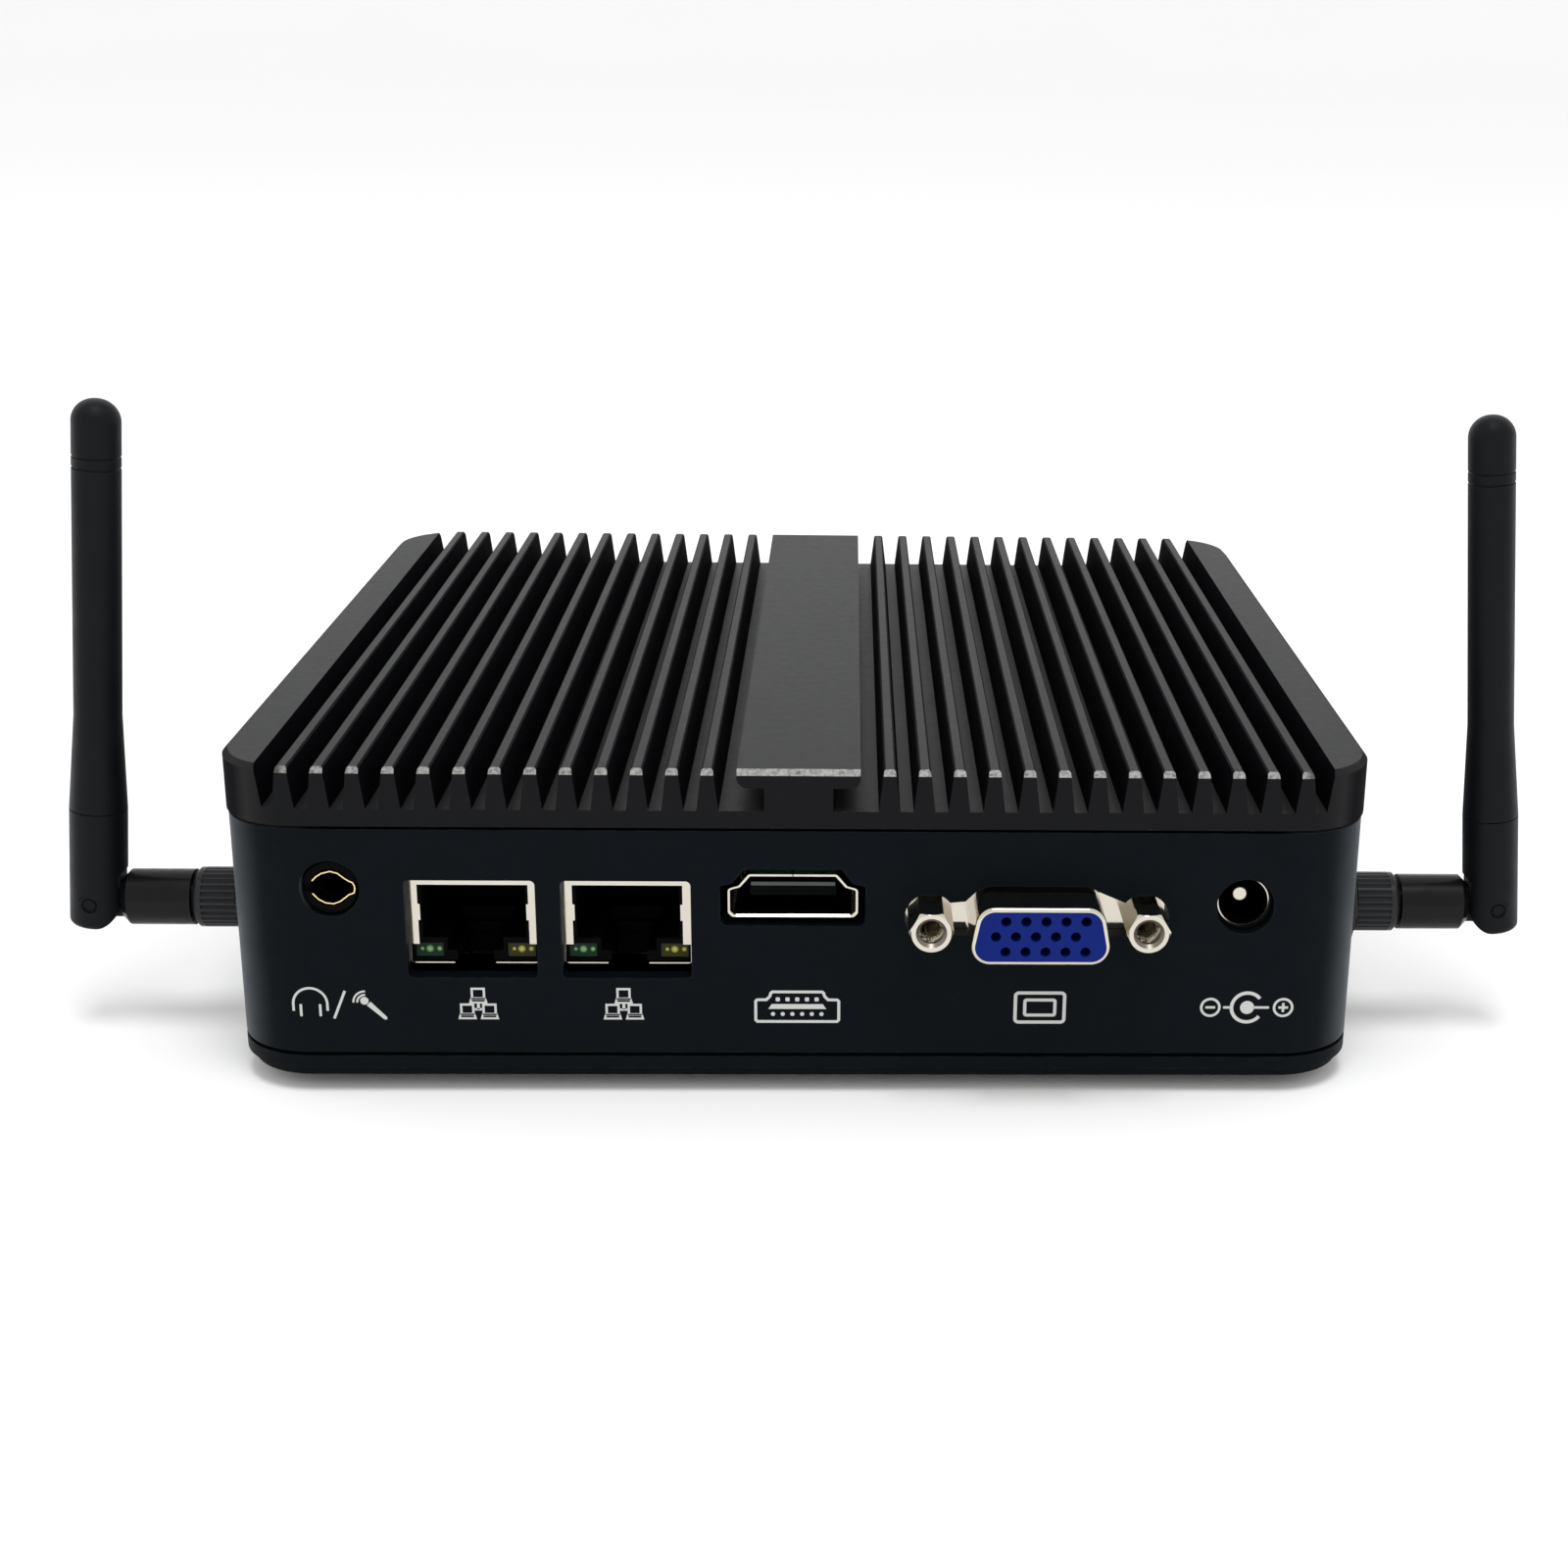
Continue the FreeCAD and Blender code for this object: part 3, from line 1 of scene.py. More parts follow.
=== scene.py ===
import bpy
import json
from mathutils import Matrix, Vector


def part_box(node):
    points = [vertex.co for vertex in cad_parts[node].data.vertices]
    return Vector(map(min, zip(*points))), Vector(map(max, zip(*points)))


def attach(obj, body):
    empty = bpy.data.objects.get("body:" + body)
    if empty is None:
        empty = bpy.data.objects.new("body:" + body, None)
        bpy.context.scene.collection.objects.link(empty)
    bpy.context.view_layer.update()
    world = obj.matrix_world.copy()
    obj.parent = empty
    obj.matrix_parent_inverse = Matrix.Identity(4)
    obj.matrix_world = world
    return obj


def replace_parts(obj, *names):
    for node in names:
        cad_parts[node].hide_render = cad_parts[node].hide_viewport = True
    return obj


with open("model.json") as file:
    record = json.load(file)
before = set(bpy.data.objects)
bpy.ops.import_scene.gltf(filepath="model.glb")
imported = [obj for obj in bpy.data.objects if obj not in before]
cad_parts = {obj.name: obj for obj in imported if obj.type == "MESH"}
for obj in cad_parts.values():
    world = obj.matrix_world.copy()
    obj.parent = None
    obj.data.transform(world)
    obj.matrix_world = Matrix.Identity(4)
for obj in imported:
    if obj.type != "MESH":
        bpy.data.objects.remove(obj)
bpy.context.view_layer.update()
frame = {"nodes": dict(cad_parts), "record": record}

import json
from math import cos, pi, radians, sin, sqrt

import bmesh
import bpy
from mathutils import Matrix, Vector

MM = 0.001                   # lengths are in millimetres unless a comment says metres
MAST_LEAN = radians(5.2)     # each antenna mast leans outwards by this much
MAST_OFFSET = 0.2            # from the mast's middle line out to the hinge
FIN_EDGE_Z = 40.29           # the fins' flanks end below this height
GROOVE_REACH = 61.9          # the grooves between the fins lie within this distance of the middle
scene = bpy.context.scene
scene.view_settings.view_transform = "Standard"


# ---------------------------------------------------------------- camera

CAMERA_PLACE = (5.5985, -306.80, 121.22)
YAW, PITCH, ROLL = radians(2.20346), radians(18.45422), radians(1.03044)
LENS, SENSOR, SHIFT_X = 52.313, 36.0, -0.09375

forward = Vector((sin(YAW) * cos(PITCH), cos(YAW) * cos(PITCH), -sin(PITCH)))
level = forward.cross(Vector((0, 0, 1))).normalized()
above = level.cross(forward)
right = cos(ROLL) * level + sin(ROLL) * above
up = -sin(ROLL) * level + cos(ROLL) * above
turn = Matrix((right, up, -forward)).transposed().to_4x4()
lens = bpy.data.cameras.new("camera")
lens.sensor_width = SENSOR
lens.lens = LENS
lens.shift_x = SHIFT_X
lens.clip_start = 0.01
lens.clip_end = 50
camera = bpy.data.objects.new("camera", lens)
camera.matrix_world = Matrix.Translation(Vector(CAMERA_PLACE) * MM) @ turn
scene.collection.objects.link(camera)
scene.camera = camera


# ---------------------------------------------------------------- surfaces

class Surface:
    """A node-built material. Patterns are laid out in the piece's own space, in metres."""

    def __init__(self, name):
        self.material = bpy.data.materials.new(name)
        self.material.use_nodes = True
        self.tree = self.material.node_tree
        self.shader = self.tree.nodes["Principled BSDF"]
        self.place = self.add("ShaderNodeTexCoord").outputs["Object"]

    def add(self, kind, **settings):
        node = self.tree.nodes.new(kind)
        for key, value in settings.items():
            setattr(node, key, value)
        return node

    def feed(self, socket, value):
        if isinstance(value, bpy.types.NodeSocket):
            self.tree.links.new(value, socket)
        elif isinstance(value, tuple) and len(value) == 3 and socket.type == "RGBA":
            socket.default_value = (*value, 1.0)
        else:
            socket.default_value = value

    def noise(self, size, detail=3.0, stretch=(1, 1, 1)):
        """Noise from 0 to 1 whose blots are about size millimetres across."""
        mapping = self.add("ShaderNodeMapping")
        self.feed(mapping.inputs["Vector"], self.place)
        mapping.inputs["Scale"].default_value = Vector(stretch) / (size * MM)
        found = self.add("ShaderNodeTexNoise")
        found.inputs["Scale"].default_value = 1.0
        found.inputs["Detail"].default_value = detail
        self.feed(found.inputs["Vector"], mapping.outputs["Vector"])
        return found.outputs["Fac"]

    def spread(self, value, low, high, out_low=0.0, out_high=1.0):
        """Takes value from the range low to high to the range out_low to out_high, clamped."""
        found = self.add("ShaderNodeMapRange")
        self.feed(found.inputs["Value"], value)
        found.inputs["From Min"].default_value = low
        found.inputs["From Max"].default_value = high
        found.inputs["To Min"].default_value = out_low
        found.inputs["To Max"].default_value = out_high
        return found.outputs["Result"]

    def maths(self, operation, a, b):
        found = self.add("ShaderNodeMath", operation=operation)
        self.feed(found.inputs[0], a)
        self.feed(found.inputs[1], b)
        return found.outputs[0]

    def times(self, a, b):
        return self.maths("MULTIPLY", a, b)

    def absolute(self, value):
        return self.maths("ABSOLUTE", value, 0)

    def square(self, value):
        return self.maths("POWER", self.absolute(value), 2.0)

    def blend(self, share, a, b):
        """Mixes two colours."""
        found = self.add("ShaderNodeMix", data_type="RGBA")
        self.feed(found.inputs["Factor"], share)
        self.feed(found.inputs[6], a)
        self.feed(found.inputs[7], b)
        return found.outputs[2]

    def mix(self, share, a, b):
        """Mixes two numbers."""
        found = self.add("ShaderNodeMix", data_type="FLOAT")
        self.feed(found.inputs["Factor"], share)
        self.feed(found.inputs[2], a)
        self.feed(found.inputs[3], b)
        return found.outputs[0]

    def split(self, vector):
        """The three parts of a vector: x, y and z."""
        parts = self.add("ShaderNodeSeparateXYZ")
        self.feed(parts.inputs[0], vector)
        return parts.outputs

    def facing(self, axis):
        """How far the surface faces along an axis (0 x, 1 y, 2 z)."""
        return self.split(self.add("ShaderNodeTexCoord").outputs["Normal"])[axis]

    def edges(self, radius):
        """1 along sharp edges, fading to 0 over about radius millimetres."""
        rounded = self.add("ShaderNodeBevel", samples=4)
        rounded.inputs["Radius"].default_value = radius * MM
        turned = self.add("ShaderNodeVectorMath", operation="DOT_PRODUCT")
        self.feed(turned.inputs[0], rounded.outputs["Normal"])
        self.feed(turned.inputs[1], self.add("ShaderNodeNewGeometry").outputs["Normal"])
        return self.spread(turned.outputs["Value"], 0.98, 0.80)

    def bump(self, height, depth, normal=None):
        """Raises the surface by height (0 to 1) times depth millimetres."""
        found = self.add("ShaderNodeBump")
        found.inputs["Strength"].default_value = 1.0
        found.inputs["Distance"].default_value = depth * MM
        self.feed(found.inputs["Height"], height)
        if normal is not None:
            self.feed(found.inputs["Normal"], normal)
        return found.outputs["Normal"]

    def finish(self, colour, roughness, metallic=0.0, normal=None, level=0.5):
        self.feed(self.shader.inputs["Base Color"], colour)
        self.feed(self.shader.inputs["Roughness"], roughness)
        self.feed(self.shader.inputs["Metallic"], metallic)
        self.shader.inputs["Specular IOR Level"].default_value = level
        if normal is not None:
            self.feed(self.shader.inputs["Normal"], normal)
        return self.material


def scaled(colour, factor):
    return tuple(min(1.0, c * factor) for c in colour)


def coating(name, colour, rough, grain, depth, level=0.5, mottle=0.25, worn=None, metallic=0.0,
            stretch=(1, 1, 1), painted_sheen=None):
    """Paint, plastic, rubber or plated metal: mottled colour and a fine grain. grain is the size of
    the grain and depth its height, in millimetres. worn is the colour of rubbed edges. The last
    argument, when given, is a paler colour painted in as a painted highlight where the surface is
    seen at a low angle, towards the case's sides and beyond them."""
    made = Surface(name)
    clouds = made.noise(9.0, 4.0)
    fine = made.noise(grain, 2.0, stretch)
    shade = made.blend(clouds, scaled(colour, 1 - mottle), scaled(colour, 1 + mottle))
    roughness = made.spread(made.noise(2.5, 4.0, stretch), 0.3, 0.7, rough - 0.06, rough + 0.06)
    if worn is not None:
        rubbed = made.times(made.edges(0.25), made.spread(made.noise(1.2), 0.42, 0.62))
        shade = made.blend(rubbed, shade, worn)
    # Painted highlight: a paler colour blended in where the surface is seen at a low angle, near and
    # beyond the case's sides.
    if painted_sheen is not None:
        low_angle = made.spread(made.add("ShaderNodeLayerWeight").outputs["Facing"], 0.30, 0.95)
        outside = made.spread(made.absolute(made.split(made.place)[0]), 56.0 * MM, 57.5 * MM)
        shade = made.blend(made.times(made.maths("POWER", low_angle, 1.5), outside), shade, painted_sheen)
    return made.finish(shade, roughness, metallic, made.bump(fine, depth), level)


def lid_surface():
    """Black anodised aluminium. The fins' sloped ends are cut after dyeing and stay dull grey. Faces
    turned to the front or to the sides get a darker black as painted shade.
    """
    made = Surface("lid_anodised")
    fine = made.noise(0.16, 3.0)
    drawn = made.noise(0.22, 3.0, (1, 0.02, 1))
    clouds = made.noise(14.0, 4.0)
    upwards = made.facing(2)
    sideways = made.absolute(made.facing(0))

    # Bare metal: the sloped ends, less so on the outermost fins, and specks along sharp edges.
    sloped = made.times(made.spread(upwards, 0.45, 0.55), made.spread(upwards, 0.92, 0.85))
    sloped = made.times(sloped, made.spread(sideways, 0.12, 0.05))
    inner = made.spread(made.absolute(made.split(made.place)[0]), 60.0 * MM, 59.5 * MM, 0.18, 1.0)
    patchy = made.spread(made.noise(0.42, 4.0), 0.30, 0.62, 0.30, 1.0)
    bare = made.times(made.times(sloped, inner), patchy)
    specks = made.times(made.edges(0.14), made.spread(made.noise(0.8, 2.0), 0.64, 0.70))
    specks = made.times(specks, made.spread(upwards, 0.5, 0.9, 0.2, 1.0))
    bare = made.maths("MAXIMUM", bare, made.times(specks, 0.8))

    black = made.blend(clouds, (0.0060, 0.0066, 0.0070), (0.0092, 0.0096, 0.0098))
    # Painted shade: a darker black on faces turned to the front, darker still on faces turned
    # sideways.
    shaded_fronts = made.spread(made.absolute(made.facing(1)), 0.6, 0.9)
    black = made.blend(shaded_fronts, black, (0.0014, 0.0017, 0.0026))
    shaded_sides = made.spread(sideways, 0.55, 0.75)
    black = made.blend(shaded_sides, black, (0.0008, 0.0010, 0.0022))
    colour = made.blend(bare, black, (0.25, 0.25, 0.245))
    rough = made.spread(made.noise(1.4, 4.0), 0.3, 0.7, 0.385, 0.425)
    rough = made.mix(shaded_sides, rough, 0.95)
    rough = made.mix(bare, rough, 0.55)
    relief = made.bump(drawn, 0.008, made.bump(fine, 0.018))
    return made.finish(colour, rough, bare, relief, 0.12)


def ribbed_surface(name, nut):
    """Glossy black plastic on a ribbed nut whose axis runs along X: the grooves are painted near black
    as painted shade and left rough, the ridges are painted lighter as a painted highlight and
    smoother."""
    made = Surface(name)
    low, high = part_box(nut)
    places = made.split(made.place)
    squares = [made.square(made.maths("SUBTRACT", places[axis], (low[axis] + high[axis]) / 2))
               for axis in (1, 2)]
    from_axis = made.maths("POWER", made.maths("ADD", *squares), 0.5)
    outer = (high.z - low.z) / 2
    ridge = made.spread(from_axis, outer - 0.30 * MM, outer - 0.05 * MM)
    fine = made.noise(0.2, 3.0)
    # Painted highlight: the ridges get a lighter colour; painted shade: the grooves a near-black one.
    ridge_highlight = made.blend(fine, (0.010, 0.011, 0.013), (0.022, 0.023, 0.026))
    colour = made.blend(ridge, (0.0008, 0.0009, 0.0012), ridge_highlight)
    rough = made.mix(ridge, 0.75, 0.24)
    return made.finish(colour, rough, 0.0, made.bump(fine, 0.006), 0.20)


def lamp_surface(name, dark, bright, boxes):
    """Tinted lens with lighter cores where the lamp's chips show through."""
    cores = ((0.0, 0.50), (0.70, 0.34), (-0.55, 0.26))  # place in half widths, radius in mm
    made = Surface(name)
    places = made.split(made.place)
    glow = 0.0
    for low, high in boxes:
        middle = (low + high) / 2
        half = (high.x - low.x) / 2
        for offset, size in cores:
            dx = made.maths("SUBTRACT", places[0], middle.x + offset * half)
            dz = made.maths("SUBTRACT", places[2], middle.z + 0.1 * MM)
            away = made.maths("POWER", made.maths("ADD", made.square(dx), made.square(dz)), 0.5)
            glow = made.maths("MAXIMUM", made.spread(away, size * MM, size * 0.35 * MM), glow)
    speckle = made.noise(0.3, 2.0)
    tint = made.blend(speckle, scaled(dark, 0.7), scaled(dark, 1.2))
    rough = made.spread(speckle, 0.3, 0.7, 0.15, 0.3)
    return made.finish(made.blend(glow, tint, bright), rough, 0.0, made.bump(speckle, 0.01), 0.12)


def solid_boxes(node):
    """The lowest and highest corners of a node's separate solids, found from its loose parts."""
    mesh = bmesh.new()
    mesh.from_mesh(frame["nodes"][node].data)
    bmesh.ops.remove_doubles(mesh, verts=mesh.verts, dist=1e-7)
    mesh.verts.ensure_lookup_table()
    seen, found = set(), []
    for start in mesh.verts:
        if start.index in seen:
            continue
        stack, part = [start], []
        seen.add(start.index)
        while stack:
            vert = stack.pop()
            part.append(vert.co.copy())
            for edge in vert.link_edges:
                other = edge.other_vert(vert)
                if other.index not in seen:
                    seen.add(other.index)
                    stack.append(other)
        low = Vector([min(p[k] for p in part) for k in range(3)])
        high = Vector([max(p[k] for p in part) for k in range(3)])
        found.append((low, high))
    mesh.free()
    return found


# Per finish: colour, roughness, grain size, grain height, specular level, mottle, colour of worn
# edges, metallic, stretch of the grain and, where there is one, a painted highlight's colour.
WORN_PAINT = (0.012, 0.014, 0.017)
COATINGS = {
    # The last colour of frame_paint is a painted highlight seen at low angles, not a colour of the
    # paint.
    "frame_paint": ((0.0017, 0.0034, 0.0052), 0.52, 0.18, 0.012, 0.055, 0.2, WORN_PAINT, 0.0,
                    (1, 1, 1), (0.10, 0.115, 0.13)),
    "plate_paint": ((0.0019, 0.0034, 0.0050), 0.52, 0.20, 0.012, 0.055, 0.2, WORN_PAINT),
    "foot_rubber": ((0.012, 0.012, 0.012), 0.75, 0.30, 0.02, 0.3),
    "black_steel": ((0.018, 0.018, 0.02), 0.40, 0.20, 0.006, 0.3, 0.3, (0.08, 0.08, 0.08), 0.6),
    "brass": ((0.60, 0.42, 0.18), 0.30, 0.15, 0.004, 0.5, 0.15, None, 1.0),
    "plain_aluminium": ((0.62, 0.62, 0.63), 0.38, 0.12, 0.006, 0.5, 0.08, None, 1.0, (1, 0.05, 1)),
    "board_green": ((0.012, 0.075, 0.03), 0.35, 0.35, 0.01, 0.5, 0.25),
    "chip_black": ((0.018, 0.018, 0.02), 0.48, 0.12, 0.008, 0.5, 0.15),
    "steel": ((0.52, 0.52, 0.51), 0.33, 0.12, 0.004, 0.5, 0.1, None, 1.0, (1, 1, 0.1)),
    "nickel": ((0.60, 0.565, 0.49), 0.11, 0.35, 0.0012, 0.5, 0.06, (0.72, 0.68, 0.60), 1.0),
    # Painted shade: a darkened nickel for the inside of the video socket's shell and the power inlet's
    # sleeve.
    "recess_shaded_nickel": ((0.05, 0.048, 0.042), 0.30, 0.35, 0.002, 0.5, 0.06, None, 1.0),
    # Painted shade: a darkened nickel for the inside of the display socket's bores.
    "bore_shaded_nickel": ((0.20, 0.185, 0.155), 0.34, 0.35, 0.002, 0.5, 0.1, None, 1.0),
    # Painted shade: near black for the fins' flanks deep in the grooves.
    "shaded_groove_black": ((0.0009, 0.0011, 0.0024), 0.95, 0.16, 0.010, 0.03, 0.3),
    "gold": ((0.86, 0.70, 0.36), 0.20, 0.20, 0.001, 0.5, 0.08, None, 1.0),
    "black_plastic": ((0.0030, 0.0030, 0.0035), 0.45, 0.16, 0.006, 0.10, 0.2),
    # Painted shade: a darker copy of the black plastic for the socket bodies deep in their openings.
    "shaded_socket_plastic": ((0.0012, 0.0012, 0.0014), 0.60, 0.16, 0.006, 0.04, 0.2),
    "blue_plastic": ((0.0032, 0.0135, 0.150), 0.48, 0.18, 0.008, 0.08, 0.12, (0.010, 0.022, 0.21)),
    "clear_plastic": ((0.55, 0.60, 0.66), 0.25, 0.20, 0.006, 0.5, 0.05),
    "usb_steel": ((0.58, 0.57, 0.55), 0.22, 0.14, 0.003, 0.5, 0.08, None, 1.0),
    # The last colour of antenna_plastic is a painted highlight seen at low angles, not a colour of the
    # plastic.
    "antenna_plastic": ((0.0030, 0.0036, 0.0050), 0.50, 0.14, 0.010, 0.12, 0.15, None, 0.0,
                        (1, 1, 1), (0.05, 0.055, 0.06)),
    "antenna_gloss": ((0.0030, 0.0032, 0.0036), 0.24, 0.40, 0.004, 0.16, 0.2, (0.02, 0.02, 0.02)),
    "rim_black": ((0.0010, 0.0010, 0.0012), 0.40, 0.20, 0.004, 0.05, 0.2),
    "cable_black": ((0.015, 0.015, 0.015), 0.45, 0.25, 0.006, 0.5, 0.2),
    "sign_ink": ((0.51, 0.52, 0.505), 0.60, 0.12, 0.006, 0.3, 0.06),
    "carrier_grey": ((0.075, 0.085, 0.09), 0.50, 0.20, 0.006, 0.2, 0.25),
}
SURFACES = {name: coating(name, *settings) for name, settings in COATINGS.items()}
SURFACES["lid_aluminium"] = lid_surface()
SURFACES["ribbed_black"] = ribbed_surface("ribbed_black", "left_coupling_nut")
SURFACES["green_lamp"] = lamp_surface("green_lamp", (0.004, 0.024, 0.012), (0.22, 0.42, 0.16),
                                      solid_boxes("link_lights"))
SURFACES["yellow_lamp"] = lamp_surface("yellow_lamp", (0.030, 0.031, 0.006), (0.50, 0.48, 0.08),
                                       solid_boxes("activity_lights"))

# Nodes whose finish isn't the plain one of their material. The socket bodies and the power inlet's
# sleeve take darker copies as painted shade; the coupling nuts have painted shade and highlight.
OWN_FINISH = {
    "left_lan_housing": "shaded_socket_plastic",
    "right_lan_housing": "shaded_socket_plastic",
    "hdmi_tongue": "shaded_socket_plastic",
    "audio_jack_body": "shaded_socket_plastic",
    "dc_jack_body": "shaded_socket_plastic",
    # Painted shade: the power inlet's sleeve takes a darkened nickel.
    "dc_jack_contact": "recess_shaded_nickel",
    "left_coupling_nut": "ribbed_black",
    "right_coupling_nut": "ribbed_black",
    "left_hinge_pin": "antenna_plastic",
    "right_hinge_pin": "antenna_plastic",
}
for part in frame["record"]["subparts"]:
    node = frame["nodes"][part["node"]]
    node.data.materials.clear()
    node.data.materials.append(SURFACES[OWN_FINISH.get(part["node"], part["material_slot"])])


# ---------------------------------------------------------------- faces given darker finishes as painted shade

def second_finish(node, material, wanted):
    """Gives the faces of a node that wanted(centre, normal) picks a finish of their own."""
    mesh = frame["nodes"][node].data
    mesh.materials.append(material)
    for polygon in mesh.polygons:
        if wanted(polygon.center / MM, polygon.normal):
            polygon.material_index = 1


def in_groove(spot, normal):
    """Picks the flanks of the fins, deep in the grooves."""
    return abs(normal.x) > 0.9 and abs(spot.x) < GROOVE_REACH and spot.z < FIN_EDGE_Z


def inside_tubes(node, most_forward):
    """Picks the faces inside a node's tubes along Y: those that look towards a tube's middle line
    and whose normals lean along Y by less than most_forward."""
    tubes = [(low + high) / 2 / MM for low, high in solid_boxes(node)]

    def picked(spot, normal):
        middle = min(tubes, key=lambda tube: abs(spot.x - tube.x))
        inward = normal.x * (middle.x - spot.x) + normal.z * (middle.z - spot.z)
        return abs(normal.y) < most_forward and inward > 0.05
    return picked


# Painted shade: the fins' flanks deep in the grooves take a near-black finish.
second_finish("heatsink_cover", SURFACES["shaded_groove_black"], in_groove)
# Painted shade: the inside of the video socket's shell takes a darkened nickel.
second_finish("hdmi_shell", SURFACES["recess_shaded_nickel"], inside_tubes("hdmi_shell", 0.3))
# Painted shade: the inside of the display socket's bores takes a darkened nickel.
second_finish("vga_jackscrews", SURFACES["bore_shaded_nickel"], inside_tubes("vga_jackscrews", 0.9))


# ---------------------------------------------------------------- small shapes

def add_piece(name, mesh, slot, body="case"):
    """Links a finished mesh as a piece that takes its finish from slot and rides on body."""
    bmesh.ops.recalc_face_normals(mesh, faces=mesh.faces)
    data = bpy.data.meshes.new(name)
    mesh.to_mesh(data)
    mesh.free()
    data.materials.append(SURFACES[slot])
    piece = bpy.data.objects.new(name, data)
    scene.collection.objects.link(piece)
    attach(piece, body)
    return piece


def skin(mesh, rows, closed, capped):
    """Joins rows of vertices, each a ring, to a tube; a capped one gets a face at each end."""
    for k in range(len(rows) if closed else len(rows) - 1):
        here, after = rows[k], rows[(k + 1) % len(rows)]
        for j in range(len(here)):
            i = (j + 1) % len(here)
            mesh.faces.new((here[j], here[i], after[i], after[j]))
    if capped:
        mesh.faces.new(rows[0])
        mesh.faces.new(list(reversed(rows[-1])))


def plate(mesh, outline, place, y_front, y_back):
    """A flat plate standing in the X-Z plane."""
    rings = []
    for y in (y_front, y_back):
        rings.append([mesh.verts.new(Vector((place[0] + u, y, place[1] + v)) * MM)
                      for u, v in outline])
    front, back = rings
    mesh.faces.new(front)
    mesh.faces.new(list(reversed(back)))
    for k in range(len(outline)):
        n = (k + 1) % len(outline)
        mesh.faces.new((front[n], front[k], back[k], back[n]))


def ribbon(mesh, path, width, place, y_front, y_back, closed=False):
    """A band of even width along a path, standing in the X-Z plane, with mitred corners."""
    count = len(path)
    points = [Vector(p) for p in path]
    rows = []
    for k, here in enumerate(points):
        before = points[k - 1] if closed or k > 0 else here
        after = points[(k + 1) % count] if closed or k < count - 1 else here
        into = (here - before).normalized() if before != here else (after - here).normalized()
        out = (after - here).normalized() if after != here else into
        along = (into + out).normalized()
        across = Vector((-along.y, along.x))
        reach = width / 2 / max(0.4, along.dot(out))
        row = []
        for side, y in ((1, y_front), (-1, y_front), (-1, y_back), (1, y_back)):
            u, v = here + across * reach * side
            row.append(mesh.verts.new(Vector((place[0] + u, y, place[1] + v)) * MM))
        rows.append(row)
    skin(mesh, rows, closed, not closed)


def arc(radius, start, end, steps=24, middle=(0.0, 0.0)):
    """Points on an arc, angles in degrees from +X, counter-clockwise."""
    found = []
    for k in range(steps + 1):
        a = radians(start + (end - start) * k / steps)
        found.append((middle[0] + radius * cos(a), middle[1] + radius * sin(a)))
    return found


def disc(radius, middle=(0.0, 0.0), steps=24):
    """Points on a whole circle, the last one step short of the first."""
    return arc(radius, 0, 360 - 360 / steps, steps - 1, middle)


def box_outline(left, right, bottom, top, corner=0.0):
    """A rectangle, its corners rounded if corner is given."""
    if corner <= 0:
        return [(left, bottom), (right, bottom), (right, top), (left, top)]
    points = arc(corner, 180, 270, 5, (left + corner, bottom + corner))
    points += arc(corner, 270, 360, 5, (right - corner, bottom + corner))
    points += arc(corner, 0, 90, 5, (right - corner, top - corner))
    points += arc(corner, 90, 180, 5, (left + corner, top - corner))
    return points


def centre(node):
    low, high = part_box(node)
    return (low + high) / 2 / MM


# ---------------------------------------------------------------- printed signs

FRAME_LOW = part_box("main_frame")[0] / MM
INK_HEIGHT = 0.02
SIGN_Y = (FRAME_LOW.y - INK_HEIGHT, FRAME_LOW.y + INK_HEIGHT)
SIGN_Z = FRAME_LOW.z + 6.5


def sign_headphones(mesh, place):
    band = [(-1.97, -0.8)] + arc(1.97, 180, 0, 24, (0, 0.1)) + [(1.97, -0.8)]
    ribbon(mesh, band, 0.29, place, *SIGN_Y)
    for u in (-1.12, 1.12):
        plate(mesh, box_outline(u - 0.15, u + 0.15, -1.5, 0.05, 0.10), place, *SIGN_Y)


def sign_slash(mesh, place):
    ribbon(mesh, [(-0.72, -1.75), (0.70, 1.75)], 0.31, place, *SIGN_Y)


def sign_microphone(mesh, place):
    plate(mesh, disc(0.49, (-1.13, 0.44)), place, *SIGN_Y)
    handle = [(-0.88, -0.14), (-0.42, 0.32), (1.34, -1.58), (1.42, -1.74), (1.36, -1.90),
              (1.20, -1.96), (1.02, -1.88)]
    plate(mesh, handle, place, *SIGN_Y)
    for radius in (0.98, 1.42):
        ribbon(mesh, arc(radius, 180, 90, 14, (-1.0, 0.22)), 0.23, place, *SIGN_Y)


def sign_network(mesh, place):
    """Three computers, each a screen standing on a wider base, joined by a short line."""
    for u, v in ((0.03, 0.08), (-1.29, -1.93), (1.30, -1.93)):
        screen = box_outline(u - 0.70, u + 0.70, v + 0.66, v + 1.87)
        ribbon(mesh, screen, 0.27, place, *SIGN_Y, True)
        base = [(u - 0.93, v + 0.12), (u + 0.93, v + 0.12), (u + 0.80, v + 0.60), (u - 0.80, v + 0.60)]
        ribbon(mesh, base, 0.24, place, *SIGN_Y, True)
    plate(mesh, box_outline(-0.14, 0.20, -0.66, 0.10), place, *SIGN_Y)
    plate(mesh, box_outline(-0.48, 0.50, -0.80, -0.52), place, *SIGN_Y)


